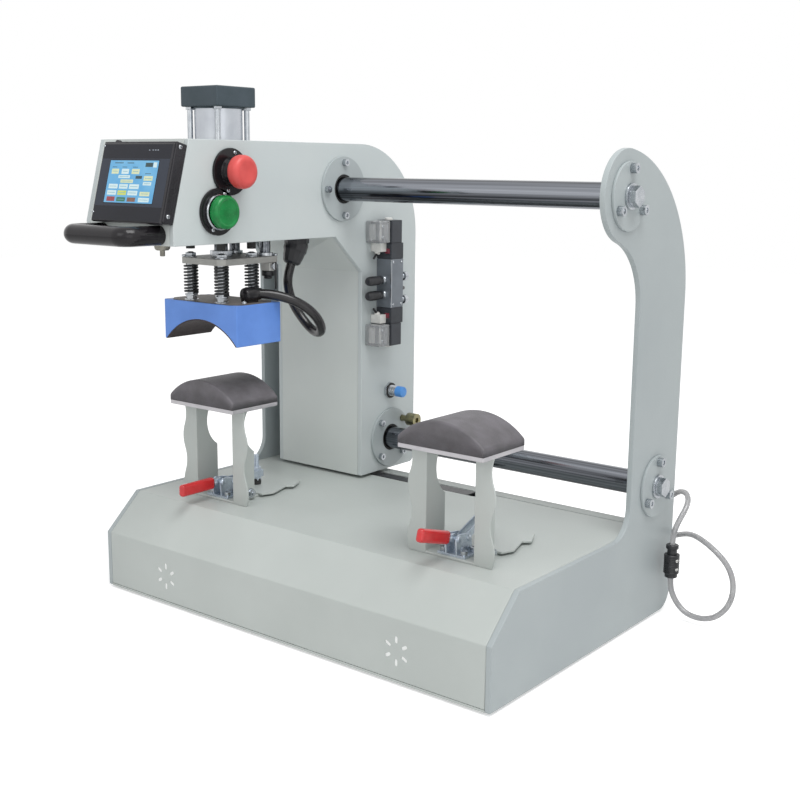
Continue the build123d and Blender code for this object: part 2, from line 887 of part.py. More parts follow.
def head_side(side):
    """Side plate of the head."""
    outer = head_right if side > 0 else head_left
    inner = outer - side * head_plate
    plate = Pos(min(outer, inner), 0, 0) * extrude(head_outline(), head_plate)
    for y, z in shaft_places:
        plate -= bar_x(inner, outer, y, z, bearing_diameter + 2 * hole_clearance)
    for y, z in bearing_screw_places(side):
        plate -= bar_x(inner, outer, y, z, m6_diameter + 2 * hole_clearance)
    if side > 0:
        for y, z in button_places():
            plate -= bar_x(inner, outer, y, z, button_barrel_diameter + 2 * hole_clearance)
        plate -= bar_x(inner, outer, back(sensor_back), up(sensor_height),
            sensor_diameter + 2 * hole_clearance)
        plate -= bar_x(inner, outer, *buffer_place(), buffer_neck_diameter + 2 * hole_clearance)
    return plate


def bearing_screw_rings():
    """Centre and first screw angle of each bearing flange."""
    angles = (0, 45)
    return [(y, z, angle) for (y, z), angle in zip(shaft_places, angles)]


def bearing_screw_places(side):
    """Screws of both bearing flanges on one side of the head, without the place that the buffer takes."""
    places = []
    for y, z, first in bearing_screw_rings():
        places += [(y + dy, z + dz) for dy,
            dz in ring_places(bearing_screw_count, bearing_screw_circle, first)]
    if side > 0:
        places.remove(buffer_place())
    return places


def buffer_place():
    """The buffer takes the upper rear screw place of the lower bearing."""
    y, z, first = bearing_screw_rings()[1]
    dy, dz = ring_places(bearing_screw_count, bearing_screw_circle, first)[0]
    return y + dy, z + dz


def head_cover():
    """Bent cover that closes the head between its side plates."""
    outline = head_outline()
    shell = outline - offset(outline, amount=-head_sheet, kind=Kind.INTERSECTION)
    left = head_left + head_plate
    width = head_width - 2 * head_plate
    body = Pos(left, 0, 0) * extrude(shell, width)
    top = up(head_top)
    half = cylinder_square / 2 + hole_clearance
    body -= block(press_x - half, press_x + half, press_y - half, press_y + half,
        top - head_sheet, top)
    window = rod_window / 2
    mid = press_y + rod_window_shift
    low = up(arm_underside)
    body -= block(press_x - window, press_x + window, mid - window, mid + window, low,
        low + head_sheet)
    return body


def spring_places():
    """Centres of the four spring rods."""
    half_x = spring_pitch_x / 2
    half_y = spring_pitch_y / 2
    return [(press_x + sx * half_x, press_y + sy * half_y) for sx in (-1, 1) for sy in (-1, 1)]


def guide_places():
    """Centres of the two guide rods."""
    half_x = spring_pitch_x / 2
    return [(press_x + sx * half_x, press_y + guide_rod_shift) for sx in (-1, 1)]


def floor_plate():
    """Thick plate inside the arm that carries the cylinder and the bushes."""
    half = head_width / 2 - head_plate
    low = up(arm_underside) + head_sheet
    front = back(floor_plate_front)
    plate = block(press_x - half, press_x + half, front, front + floor_plate_depth, low,
        low + floor_plate_thickness)
    plate -= post(press_x, press_y, low, low + floor_plate_thickness,
        rod_diameter + 4 * spring_rod_fit)
    for x, y in guide_places():
        plate -= post(x, y, low, low + floor_plate_thickness,
            guide_bush_diameter + 2 * hole_clearance)
    return plate


def linear_bearings():
    """Flanged linear bearing at each side of the head, on both shafts."""
    pieces = []
    for outer, side in ((head_right, 1), (head_left, -1)):
        face = outer + side * bearing_flange_thickness
        inner = outer - side * bearing_length
        for y, z in shaft_places:
            bearing = bar_x(outer, face, y, z, bearing_flange_diameter) + bar_x(inner, outer, y,
                z, bearing_diameter)
            bearing -= bar_x(inner, face, y, z, shaft_diameter + 2 * shaft_fit)
            bearing -= bar_x(face - side * bearing_seal_depth, face, y, z, bearing_seal_diameter)
            for screw_y, screw_z in bearing_screw_places(side):
                bearing -= bar_x(outer, face, screw_y, screw_z, m6_diameter + 2 * hole_clearance)
            if side > 0:
                bearing -= bar_x(outer, face, *buffer_place(),
                    buffer_neck_diameter + 2 * hole_clearance)
            pieces.append(bearing)
    return group(pieces)


def bearing_screws():
    """Cap screws of the bearing flanges."""
    screws = []
    length = bearing_flange_thickness + head_plate
    for outer, side in ((head_right, 1), (head_left, -1)):
        face = outer + side * bearing_flange_thickness
        for y, z in bearing_screw_places(side):
            screw = socket_screw(m6_diameter, m6_head_diameter, m6_head_height, m6_socket, length)
            screws.append(facing_x(screw, face, y, z, side))
    return group(screws)


# ------------------------------------------------------------------ cylinder
cylinder_foot = up(arm_underside) + head_sheet + floor_plate_thickness
barrel_low = cylinder_foot + cylinder_cap_height
barrel_high = up(cylinder_top) - cylinder_cap_height


def tie_places():
    """Centres of the four tie rods."""
    half = tie_rod_pitch / 2
    return [(press_x + sx * half, press_y + sy * half) for sx in (-1, 1) for sy in (-1, 1)]


def cylinder_caps():
    """Square end caps of the cylinder."""
    half = cylinder_square / 2
    caps = []
    for low in (cylinder_foot, barrel_high):
        cap = block(press_x - half, press_x + half, press_y - half, press_y + half, low,
            low + cylinder_cap_height)
        caps.append(cap)
    caps[0] -= post(press_x, press_y, cylinder_foot, barrel_low, rod_diameter + 2 * shaft_fit)
    return group(caps)


def cylinder_barrel():
    """Round barrel between the caps."""
    tube = post(press_x, press_y, barrel_low, barrel_high, barrel_diameter)
    return tube - post(press_x, press_y, barrel_low, barrel_high, barrel_bore)


def tie_rods():
    """Four rods that hold the caps together."""
    return group([post(x, y, barrel_low, barrel_high, tie_rod_diameter) for x, y in tie_places()])


def guide_bushes():
    """Flanged bushes of the guide rods, pressed into the floor plate."""
    bushes = []
    seat = up(arm_underside) + head_sheet
    top = cylinder_foot + guide_bush_flange_thickness
    for x, y in guide_places():
        bush = post(x, y, seat, top, guide_bush_diameter)
        bush += post(x, y, cylinder_foot, top, guide_bush_flange)
        bush += post(x, y, seat - guide_bush_flange_thickness, seat, guide_bush_collar)
        bush -= post(x, y, seat - guide_bush_flange_thickness, top,
            guide_rod_diameter + 2 * shaft_fit)
        bushes.append(bush)
    return group(bushes)


def arm_bumpers():
    """Rubber bumpers under the arm, above the spring rods."""
    bumpers = []
    seat = up(arm_underside) + head_sheet
    low = up(plate_bottom) + plate_thickness + nut_height + bumper_gap
    for x, y in spring_places():
        cone_height = (seat - low) / 2
        cone = Cone(bumper_neck_diameter / 2, bumper_top_diameter / 2, cone_height)
        bumper = Pos(x, y, seat - cone_height / 2) * cone
        bumper += post(x, y, low, seat - cone_height, bumper_neck_diameter)
        bumpers.append(bumper)
    return group(bumpers)


# ------------------------------------------------------------------ press unit
def ram_rods():
    """Piston with its rod, and the two guide rods."""
    plate_top = up(plate_bottom) + plate_thickness
    piston_top = barrel_high - piston_drop
    piston = post(press_x, press_y, piston_top - piston_thickness, piston_top,
        barrel_bore - 2 * piston_fit)
    piston += post(press_x, press_y, plate_top, piston_top - piston_thickness, rod_diameter)
    rods = [piston]
    for x, y in guide_places():
        rods.append(post(x, y, plate_top, up(guide_rod_top), guide_rod_diameter))
    return group(rods)


def pressure_plate():
    """Plate between the rods and the springs."""
    low = up(plate_bottom)
    half = plate_width / 2
    plate = block(press_x - half, press_x + half, press_y - plate_front, press_y + plate_rear,
        low, low + plate_thickness)
    plate = chamfer(plate.edges().filter_by(Axis.Z), plate_chamfer)
    for x, y in spring_places():
        plate -= post(x, y, low, low + plate_thickness, spring_rod_diameter + 2 * spring_rod_fit)
    return plate


def spring_rods():
    """Four rods that stand on the block, with a collar below and a nut above the plate."""
    rods = []
    plate_top = up(plate_bottom) + plate_thickness
    for x, y in spring_places():
        rod = post(x, y, up(block_top), plate_top + nut_height, spring_rod_diameter)
        rod += Pos(x, y, up(block_top)) * hexagon_prism(nut_across, collar_height)
        rod += Pos(x, y, plate_top) * hexagon_prism(nut_across, nut_height)
        rods.append(rod)
    return group(rods)


def springs():
    """Four coil springs between the collars and the plate."""
    coils = []
    low = up(block_top) + collar_height + spring_wire / 2
    high = up(plate_bottom) - spring_wire / 2
    radius = (spring_outer - spring_wire) / 2
    pitch = (high - low) / spring_turns
    path = Helix(pitch, high - low, radius)
    section = Plane(origin=path @ 0, z_dir=path % 0) * Circle(spring_wire / 2)
    coil = sweep(section, path=path, is_frenet=True)
    for x, y in spring_places():
        coils.append(Pos(x, y, low) * coil)
    return group(coils)


def pad_radius():
    """Radius of the pad's dome, from its width and rise."""
    half = pad_width / 2
    rise = pad_crest - pad_plate_top - pad_edge
    return (half ** 2 + rise ** 2) / (2 * rise)


def arch_bar(extra, depth):
    """Round bar along Y whose upper side is the arch; the lining's underside follows the pad."""
    radius = pad_radius() + press_gap + extra
    middle = up(lining_crest) - pad_radius() - press_gap
    return bar_y(press_x, press_y - depth / 2, press_y + depth / 2, middle, 2 * radius)


def heating_block():
    """Heated block with an arch below that fits over the pad."""
    half = block_width / 2
    front = press_y - block_depth / 2
    top = up(block_top)
    body = block(press_x - half, press_x + half, front, front + block_depth, up(block_bottom), top)
    body -= arch_bar(lining_thickness, block_depth)
    x, y = terminal_place()
    half = terminal_width / 2
    return body + block(x - half, x + half, y - terminal_depth, y, top, top + terminal_height)


def terminal_place():
    """Middle of the terminal's rear face, where the heater lead ends."""
    return press_x + terminal_right, press_y - terminal_front


def block_lining():
    """Thin lining in the arch."""
    depth = block_depth - 2 * lining_inset
    ring = arch_bar(lining_thickness, depth) - arch_bar(0, depth)
    half = block_width / 2
    front = press_y - depth / 2
    return ring & block(press_x - half, press_x + half, front, front + depth, up(block_bottom),
        up(block_top))


# ------------------------------------------------------------------ fittings of the head
def panel_frame():
    """Plane of the sloped arm front, its X to the right and its normal forward."""
    foot = Vector(press_x, back(arm_front), up(arm_front_knee))
    top = Vector(press_x, back(arm_front_top), up(head_top))
    rise = (top - foot).normalized()
    normal = Vector(1, 0, 0).cross(rise)
    return Plane(origin=foot, x_dir=(1, 0, 0), z_dir=normal)


def panel_box():
    """Black box of the touch panel on the sloped arm front."""
    plane = panel_frame()
    x = head_width / 2 - panel_right_inset - panel_width / 2
    middle = panel_height / 2 - panel_drop
    box = Pos(x, middle, panel_depth / 2) * Box(panel_width, panel_height, panel_depth)
    knob_x = x - panel_width / 2 + 2 * panel_knob_diameter
    knob_foot = panel_height - panel_drop
    knob = Pos(knob_x, knob_foot + panel_knob_height / 2, panel_depth / 2) * Rot(90, 0, 0)
    knob = knob * Cylinder(panel_knob_diameter / 2, panel_knob_height)
    return plane * (box + knob)


def panel_screen():
    """Touch screen unit on the front of its box."""
    plane = panel_frame()
    x = head_width / 2 - panel_right_inset - panel_width / 2
    middle = screen_height / 2 - screen_drop
    unit = Pos(x, middle, panel_depth + screen_thickness / 2) * Box(screen_width, screen_height,
        screen_thickness)
    return plane * unit


def grab_handle():
    """U-shaped tube handle on the arm front."""
    radius = handle_tube / 2
    right = head_right - handle_inset - radius
    left = right - handle_width + handle_tube
    wall = back(arm_front)
    front = base_front - handle_reach + radius
    z = up(handle_height)
    path = FilletPolyline([(right, wall, z), (right, front, z), (left, front, z),
        (left, wall, z)], radius=handle_bend)
    section = Plane(origin=(right, wall, z), z_dir=(0, -1, 0)) * Circle(radius)
    return sweep(section, path=path)


def arm_knob():
    """Small knob under the arm front."""
    x = press_x
    y = back(knob_back)
    top = up(arm_underside)
    knob = post(x, y, top - knob_height, top, knob_diameter)
    return knob + post(x, y, top - knob_height - knob_stem_length, top - knob_height,
        knob_stem_diameter)


def button_bases():
    """Disc, barrel and contact block of both buttons."""
    bases = []
    for y, z in button_places():
        face = head_right + button_disc_thickness
        deep = head_right - button_barrel_length
        base = bar_x(head_right, face, y, z, button_disc_diameter) + bar_x(deep, head_right, y,
            z, button_barrel_diameter)
        half = button_block_size / 2
        base += block(deep - button_block_length, deep, y - half, y + half, z - half, z + half)
        base -= bar_x(deep, face, y, z, button_bore_diameter)
        bases.append(base)
    return group(bases)


def button_stem(y, z, head_start, travel_in, head_diameter, head_length):
    """Stem in its barrel, and the head on it."""
    deep = head_right - button_barrel_length + travel_in + stem_fit
    start = head_right + head_start
    stem = bar_x(deep, start, y, z, button_bore_diameter - 2 * stem_fit)
    head = bar_x(start, start + head_length, y, z, head_diameter)
    return stem, head


def estop_pieces():
    """Stem and mushroom head of the emergency stop."""
    y, z = button_places()[0]
    return button_stem(y, z, estop_head_start, estop_travel, estop_head_diameter, estop_head_length)


def start_button():
    """Start button, stem and head in one."""
    y, z = button_places()[1]
    stem, head = button_stem(y, z, start_head_start, start_travel, start_head_diameter,
        start_head_length)
    return stem + head


def valve_body():
    """Spool valve body with two silencers and three tube fittings."""
    face = head_right + valve_thickness
    front = back(valve_back)
    rear = front + valve_width
    low = up(valve_low)
    pieces = [block(head_right, face, front, rear, low, low + valve_body_height)]
    x = head_right + valve_thickness / 2
    for z in (low + silencer_low, low + silencer_low + silencer_pitch):
        pieces.append(bar_y(x, front - silencer_length, front, z, silencer_diameter))
    for i in range(fitting_count):
        z = low + fitting_low + fitting_pitch * i
        pieces.append(bar_y(x, rear, rear + fitting_length, z, fitting_diameter))
    return group(pieces)


def valve_coils():
    """Solenoid heads and coils at both ends of the valve body."""
    face = head_right + valve_thickness
    front = back(valve_back)
    low = up(valve_low)
    high = low + valve_body_height
    rear = front + valve_width
    coil_rear = front + coil_width
    upper = block(head_right, face, front, rear, high, high + solenoid_height)
    upper += block(head_right, face, front, coil_rear, high + solenoid_height,
        high + solenoid_height + coil_height)
    lower = block(head_right, face, front, rear, low - solenoid_height, low)
    lower += block(head_right, face, front, coil_rear, low - solenoid_height - coil_height,
        low - solenoid_height)
    return group([upper, lower])


def valve_connectors():
    """Plug housings on the front of the coils."""
    far = head_right + connector_thickness
    front = back(valve_back)
    low = up(valve_low)
    high = low + valve_body_height
    start = front - connector_width
    upper_low = high + solenoid_height
    lower_high = low - solenoid_height
    neck = start + connector_base_height
    upper = block(head_right, far, start, front, upper_low, upper_low + coil_height)
    upper += block(head_right, far - 2 * head_sheet, neck, front,
        upper_low - connector_base_height, upper_low)
    lower = block(head_right, far, start, front, lower_high - coil_height, lower_high)
    lower += block(head_right, far - 2 * head_sheet, neck, front, lower_high,
        lower_high + connector_base_height)
    return group([upper, lower])


def proximity_sensor():
    """Threaded sensor through the plate, with a nut on each side."""
    y = back(sensor_back)
    z = up(sensor_height)
    inner = head_right - head_plate
    barrel = bar_x(inner - sensor_inside, head_right + sensor_reach, y, z, sensor_diameter)
    nut = hexagon_prism(sensor_nut_across, sensor_nut_thickness)
    barrel += facing_x(nut, head_right, y, z, 1)
    barrel += facing_x(nut, inner, y, z, -1)
    return barrel


def stop_buffer():
    """Buffer that meets the side plate at the end of the travel."""
    y, z = buffer_place()
    end = head_right + side_gap - stop_gap
    shoulder = end - buffer_head_length
    neck = bar_x(head_right - head_plate - buffer_inside, shoulder, y, z, buffer_neck_diameter)
    head = bar_x(shoulder, end, y, z, buffer_head_diameter)
    socket = facing_x(hexagon_prism(buffer_socket, buffer_head_length),
        end - buffer_head_length / 2, y, z, 1)
    return neck + head - socket


def gland_place():
    """Centre of the cable gland under the arm."""
    return press_x + gland_right, back(gland_back)


def gland_mouth():
    """Middle of the gland's mouth, where the heater lead comes out."""
    x, y = gland_place()
    return x - gland_swing, y - gland_lean, up(arm_underside) - gland_drop


def cable_gland():
    """Gland under the arm: a round nut and a leaning, tapered body."""
    x, y = gland_place()
    top = up(arm_underside)
    nut = post(x, y, top - gland_nut_height, top, gland_nut_diameter)
    root = Vector(x, y, top - gland_nut_height)
    run = Vector(*gland_mouth()) - root
    section = Plane(origin=root, z_dir=run) * Circle(gland_diameter / 2)
    body = extrude(section, amount=run.length, taper=gland_taper)
    neck = extrude(section, amount=-gland_nut_height / 4)
    return nut + body + neck


# ------------------------------------------------------------------ flexible pieces
def arc_radii(points):
    """Radius of the arc at each inner point: 0.45 of the shorter run over tan of half the turn."""
    radii = []
    for before, here, after in zip(points, points[1:], points[2:]):
        run_in = Vector(*here) - Vector(*before)
        run_out = Vector(*after) - Vector(*here)
        turn = math.radians(run_in.get_angle(run_out))
        radii.append(0.45 * min(run_in.length, run_out.length) / math.tan(turn / 2))
    return radii


def hose(points, diameter):
    """Tube of straight runs and tangent arcs along a route."""
    radii = arc_radii(points)
    path = FilletPolyline(points, radius=radii)
    start = Vector(*points[0])
    ahead = Vector(*points[1]) - start
    section = Plane(origin=start, z_dir=ahead) * Circle(diameter / 2)
    tube = sweep(section, path=path)
    expected = math.pi * diameter ** 2 / 4 * path.length
    ratio = tube.volume / expected
    print(f"route: {path.length:.0f} mm, radii {min(radii):.0f} to {max(radii):.0f} mm, {ratio:.4f}")
    return tube


valve_middle = (368.0, 256.0, 85.0)
valve_top_end = (valve_middle[0], valve_middle[1], valve_middle[2] + slide_valve_length / 2)
valve_low_end = (valve_middle[0], valve_middle[1], valve_middle[2] - slide_valve_length / 2)
upper_port, lower_port = port_places()
upper_tube_route = [
    (upper_port[0], upper_port[1] + port_length, upper_port[2]),
    (296, 266, 114), (298, 284, 118), (303, 298, 127), (311, 309, 139), (322, 317, 150), (334,
        320, 162),
    (347, 317, 171), (361, 308, 173), (371, 295, 167), (373, 282, 156), (371, 269, 144), (369,
        260, 132),
    (368, 256, 120),
    valve_top_end]
lower_tube_route = [
    valve_low_end,
    (368, 256, 48), (372, 256, 35), (381, 255, 23), (394, 253, 14), (410, 252, 11), (427, 251, 13),
    (443, 250, 21), (457, 250, 37), (464, 250, 57), (463, 250, 79), (454, 250, 98), (438, 251, 112),
    (419, 258, 120), (401, 270, 122), (385, 284, 120), (369, 298, 115), (353, 308, 108), (334,
        309, 101),
    (319, 298, 96), (313, 281, 94), (312, 265, 94),
    (lower_port[0], lower_port[1] + port_length, lower_port[2])]
terminal_x, terminal_y = terminal_place()
heater_route = [
    gland_mouth(),
    (-175.58, 42.8, 475.44), (-177, 41.5, 462), (-177.3, 44, 448), (-175.2, 48, 434), (-169.9, 51, 421),
    (-161.5, 54, 408.8), (-150, 55, 397.5), (-137, 54, 389.7), (-121.4, 49, 387.9), (-107.2, 40,
        393.8),
    (-101, 31, 404.9), (-101.7, 22, 416.8), (-107.2, 13, 427.4), (-115.7, 3, 436.3), (-125.1,
        -8, 443),
    (-138, -21, 448.3), (-149.5, -31.5, 450.6), (-158.5, -41, 450.6), (-163, -52, 450),
    (terminal_x, terminal_y, 450)]


def slide_valve():
    """Core of the hand valve and its sliding sleeve."""
    x, y, z = valve_middle
    half = slide_valve_length / 2
    collar = slide_valve_length / 8
    core = post(x, y, z - half, z + half, slide_valve_core)
    core += post(x, y, z + half - collar, z + half, slide_valve_diameter - slide_valve_core / 4)
    core += post(x, y, z - half, z - half + collar, slide_valve_diameter - slide_valve_core / 4)
    low = z - half + collar + slide_fit
    high = z + half - collar - slide_fit - slide_travel
    sleeve = post(x, y, low, high, slide_valve_diameter)
    sleeve -= post(x, y, low, high, slide_valve_core + 2 * slide_fit)
    return core, sleeve


# ------------------------------------------------------------------ write every piece
slide_core, slide_sleeve = slide_valve()
estop_stem, estop_head = estop_pieces()
nodes = {
    "base_casing": casing(),
    "base_floor": base_floor(),
    "rear_cover": rear_cover(),
    "cable_chain": cable_chain(),
    "right_side_plate": side_plate(1),
    "left_side_plate": side_plate(-1),
    "rubber_feet": rubber_feet(),
    "guide_shafts": group([shaft(y, z) for y, z in shaft_places]),
    "shaft_end_flanges": shaft_end_flanges(),
    "shaft_end_bolts": shaft_end_bolts(),
    "flange_screws": flange_screws(),
    "power_inlet": power_inlet(),
    "air_ports": air_ports(),
    "upper_air_tube": hose(upper_tube_route, tube_diameter),
    "lower_air_tube": hose(lower_tube_route, tube_diameter),
    "slide_valve_core": slide_core,
    "slide_valve_sleeve": slide_sleeve,
    "cap_stands": group([cap_stand(x) for x in station_places]),
    "pad_plates": group([pad_plate(x) for x in station_places]),
    "left_pad": pad(station_places[0]),
    "right_pad": pad(station_places[1]),
    "tongue_plates": group([tongue_plate(x) for x in station_places]),
    "clamp_bases": group([clamp_base(x) for x in station_places]),
    "stand_screws": stand_screws(),
    "left_clamp_lever": clamp_lever(station_places[0], left_lever_lift),
    "right_clamp_lever": clamp_lever(station_places[1], right_lever_lift),
    "left_clamp_arm": clamp_arm(station_places[0], left_lever_lift * arm_ratio),
    "right_clamp_arm": clamp_arm(station_places[1], right_lever_lift * arm_ratio),
    "head_right_plate": head_side(1),
    "head_left_plate": head_side(-1),
    "head_cover": head_cover(),
    "arm_floor_plate": floor_plate(),
    "linear_bearings": linear_bearings(),
    "bearing_screws": bearing_screws(),
    "cylinder_caps": cylinder_caps(),
    "cylinder_barrel": cylinder_barrel(),
    "tie_rods": tie_rods(),
    "guide_bushes": guide_bushes(),
    "arm_bumpers": arm_bumpers(),
    "ram_rods": ram_rods(),
    "pressure_plate": pressure_plate(),
    "spring_rods": spring_rods(),
    "springs": springs(),
    "heating_block": heating_block(),
    "block_lining": block_lining(),
    "panel_box": panel_box(),
    "panel_screen": panel_screen(),
    "grab_handle": grab_handle(),
    "arm_knob": arm_knob(),
    "button_bases": button_bases(),
    "estop_stem": estop_stem,
    "estop_head": estop_head,
    "start_button": start_button(),
    "valve_body": valve_body(),
    "valve_coils": valve_coils(),
    "valve_connectors": valve_connectors(),
    "proximity_sensor": proximity_sensor(),
    "stop_buffer": stop_buffer(),
    "cable_gland": cable_gland(),
    "heater_lead": hose(heater_route, heater_lead_diameter),
}
for name, shape in nodes.items():
    export_step(shape, f"parts/{name}.step")
print(len(nodes), "nodes")
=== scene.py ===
"""Looks of a two-station air-powered cap heat press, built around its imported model."""

import json
import logging
import math
from dataclasses import dataclass
from enum import Enum
from typing import Optional, Sequence

import bmesh
import bpy
from mathutils import Matrix, Vector


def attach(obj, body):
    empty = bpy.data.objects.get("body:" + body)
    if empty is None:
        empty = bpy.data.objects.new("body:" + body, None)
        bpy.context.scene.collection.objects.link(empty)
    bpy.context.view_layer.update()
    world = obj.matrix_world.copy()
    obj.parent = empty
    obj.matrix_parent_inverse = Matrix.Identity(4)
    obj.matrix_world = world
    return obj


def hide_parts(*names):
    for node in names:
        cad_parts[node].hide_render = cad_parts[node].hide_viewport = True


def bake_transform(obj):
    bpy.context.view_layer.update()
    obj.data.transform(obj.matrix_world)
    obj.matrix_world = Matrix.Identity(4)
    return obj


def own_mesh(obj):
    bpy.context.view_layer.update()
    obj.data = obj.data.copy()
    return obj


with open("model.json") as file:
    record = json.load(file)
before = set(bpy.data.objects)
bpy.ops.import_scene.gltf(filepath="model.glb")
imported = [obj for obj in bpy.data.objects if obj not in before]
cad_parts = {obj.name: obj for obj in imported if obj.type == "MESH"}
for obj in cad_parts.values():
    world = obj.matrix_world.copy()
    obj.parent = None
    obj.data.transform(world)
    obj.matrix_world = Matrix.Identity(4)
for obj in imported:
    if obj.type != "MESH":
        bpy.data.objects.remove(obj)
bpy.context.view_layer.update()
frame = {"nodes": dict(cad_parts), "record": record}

LOG = logging.getLogger("cap_press")
MM = 0.001
SHARP = 0.6  # bend between two drawn faces, in radians, above which their edge is rounded
SHARP_COPY = 0.5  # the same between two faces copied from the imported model
FLAT = math.radians(0.6)  # bend up to which two copied faces are merged
Point = Sequence[float]
Material = bpy.types.Material
Object = bpy.types.Object


class Axis(Enum):
    """The object's own directions, as unit vectors."""

    X = (1.0, 0.0, 0.0)
    Y = (0.0, 1.0, 0.0)
    Z = (0.0, 0.0, 1.0)
    BACK_X = (-1.0, 0.0, 0.0)
    BACK_Y = (0.0, -1.0, 0.0)
    DOWN = (0.0, 0.0, -1.0)


def unit(axis: Axis | Point) -> Vector:
    """Turns an axis or any other direction into a unit vector.

    Args:
        axis: One of the named axes, or three numbers.

    Returns:
        The direction, with a length of 1.
    """
    return Vector(axis.value if isinstance(axis, Axis) else axis).normalized()


def add_object(name: str, data: bpy.types.ID) -> Object:
    """Puts a new object into the scene.

    Args:
        name: Its name.
        data: What it shows: a mesh, a curve, a camera or a lamp.

    Returns:
        The new object, at the origin.
    """
    made = bpy.data.objects.new(name, data)
    bpy.context.scene.collection.objects.link(made)
    return made


# ---------------------------------------------------------------- materials


def linear(hex_colour: str) -> tuple[float, float, float, float]:
    """Turns an sRGB hex colour into linear RGBA.

    Args:
        hex_colour: Six hex digits after a hash sign.

    Returns:
        Red, green, blue and an alpha of 1, linear.
    """
    channels = [int(hex_colour[i : i + 2], 16) / 255.0 for i in (1, 3, 5)]
    turned = [c / 12.92 if c <= 0.04045 else ((c + 0.055) / 1.055) ** 2.4 for c in channels]
    return (turned[0], turned[1], turned[2], 1.0)


def add_node(
    tree: bpy.types.NodeTree,
    kind: str,
    settings: Optional[dict] = None,
    links: Optional[dict] = None,
) -> bpy.types.Node:
    """Adds a node with its settings and links.

    Args:
        tree: The material's or world's node tree.
        kind: The node's type name.
        settings: Attribute names, or input names or numbers, and their values.
        links: Input names or numbers, and the sockets that feed them.

    Returns:
        The new node.
    """
    node = tree.nodes.new(kind)
    for key, value in (settings or {}).items():
        if isinstance(key, str) and hasattr(node, key):
            setattr(node, key, value)
        else:
            node.inputs[key].default_value = value
    for key, socket in (links or {}).items():
        tree.links.new(socket, node.inputs[key])
    return node


@dataclass(frozen=True)
class Finish:
    """A surface finish: its colour, how it drifts, its gloss and its fine relief.

    Attributes:
        name: What the finish is.
        colour: Main colour.
        drift: Colour it drifts towards.
        patch: Size of the drifting patches, in mm.
        rough: Roughness.
        rough_drift: How far the roughness drifts.
        metal: Metallic share.
        grain: Size of the fine relief, in mm.
        relief: Depth of the fine relief, in mm.
        stretch: How many times the grain is drawn out along x, y and z.
        coat: Clear coat weight.
        specular: Specular level.
        clear: Transmission share.
        glow: Emission strength.
        streaked: Whether the patches are drawn out as the grain is, as for the painted reflection
            bands on the shafts.
    """

    name: str
    colour: str
    drift: str
    patch: float = 60.0
    rough: float = 0.4
    rough_drift: float = 0.06
    metal: float = 0.0
    grain: float = 1.5
    relief: float = 0.02
    stretch: tuple[float, float, float] = (1.0, 1.0, 1.0)
    coat: float = 0.0
    specular: float = 0.5
    clear: float = 0.0
    glow: float = 0.0
    streaked: bool = False

    def build(self) -> Material:
        """Makes the material, once.

        Returns:
            The material, with all of its nodes.
        """
        made = bpy.data.materials.get(self.name)
        if made is not None:
            return made
        made = bpy.data.materials.new(self.name)
        made.use_nodes = True
        tree = made.node_tree
        tree.nodes.clear()
        place = add_node(tree, "ShaderNodeTexCoord").outputs["Object"]
        drawn = add_node(
            tree,
            "ShaderNodeMapping",
            {"Scale": tuple(1.0 / s for s in self.stretch)},
            {"Vector": place},
        ).outputs["Vector"]
        patches = add_node(
            tree,
            "ShaderNodeTexNoise",
            {"Scale": 1.0 / (self.patch * MM), "Detail": 4.0, "Roughness": 0.55},
            {"Vector": drawn if self.streaked else place},
        )
        spread = add_node(
            tree,
            "ShaderNodeMapRange",
            {"From Min": 0.35, "From Max": 0.65},
            {"Value": patches.outputs["Fac"]},
        )
        grain = add_node(
            tree,
            "ShaderNodeTexNoise",
            {"Scale": 1.0 / (self.grain * MM), "Detail": 2.0, "Roughness": 0.5},
            {"Vector": drawn},
        )
        colour = add_node(
            tree,
            "ShaderNodeMix",
            {"data_type": "RGBA", 6: linear(self.colour), 7: linear(self.drift)},
            {0: spread.outputs["Result"]},
        )
        gloss = add_node(
            tree,
            "ShaderNodeMapRange",
            {
                "From Min": 0.3,
                "From Max": 0.7,
                "To Min": max(0.02, self.rough - self.rough_drift),
                "To Max": self.rough + self.rough_drift,
            },
            {"Value": grain.outputs["Fac"]},
        )
        relief = add_node(
            tree,
            "ShaderNodeBump",
            {"Strength": 1.0, "Distance": self.relief * MM},
            {"Height": grain.outputs["Fac"]},
        )
        shader = add_node(
            tree,
            "ShaderNodeBsdfPrincipled",
            {
                "Metallic": self.metal,
                "Specular IOR Level": self.specular,
                "Coat Weight": self.coat,
                "Coat Roughness": 0.08,
                "Transmission Weight": self.clear,
                "Emission Strength": self.glow,
            },
            {
                "Base Color": colour.outputs[2],
                "Roughness": gloss.outputs["Result"],
                "Normal": relief.outputs["Normal"],
            },
        )
        if self.glow:
            tree.links.new(colour.outputs[2], shader.inputs["Emission Color"])
            tree.links.remove(shader.inputs["Base Color"].links[0])
            shader.inputs["Base Color"].default_value = linear("#0B0E12")
        add_node(tree, "ShaderNodeOutputMaterial", None, {"Surface": shader.outputs[0]})
        return made


# Semi-gloss powder coat on sheet steel: faint orange peel, colour even over a panel.
CASE_PAINT = Finish(
    "light_grey_powder_coat", "#B6BCB9", "#B0B6B3", 180.0, 0.42, 0.05, grain=2.2, relief=0.012
)
# The same coat on the thick side plates, painted a shade darker as painted shade.
SHADED_PLATE_PAINT = Finish(
    "side_plate_powder_coat_painted_shade", "#A6AEAF", "#A0A8AA", 200.0, 0.40, 0.05, grain=2.2, relief=0.012
)
# The same coat on the folded column cover, painted a shade lighter as painted light.
LIT_COVER_PAINT = Finish(
    "column_cover_powder_coat_painted_light", "#C9CFCC", "#C3C9C7", 200.0, 0.42, 0.05, grain=2.2, relief=0.012
)
# The same coat on the plates of the head.
HEAD_PAINT = Finish(
    "head_powder_coat", "#BFC6C6", "#B9C1C2", 200.0, 0.40, 0.05, grain=2.2, relief=0.012
)
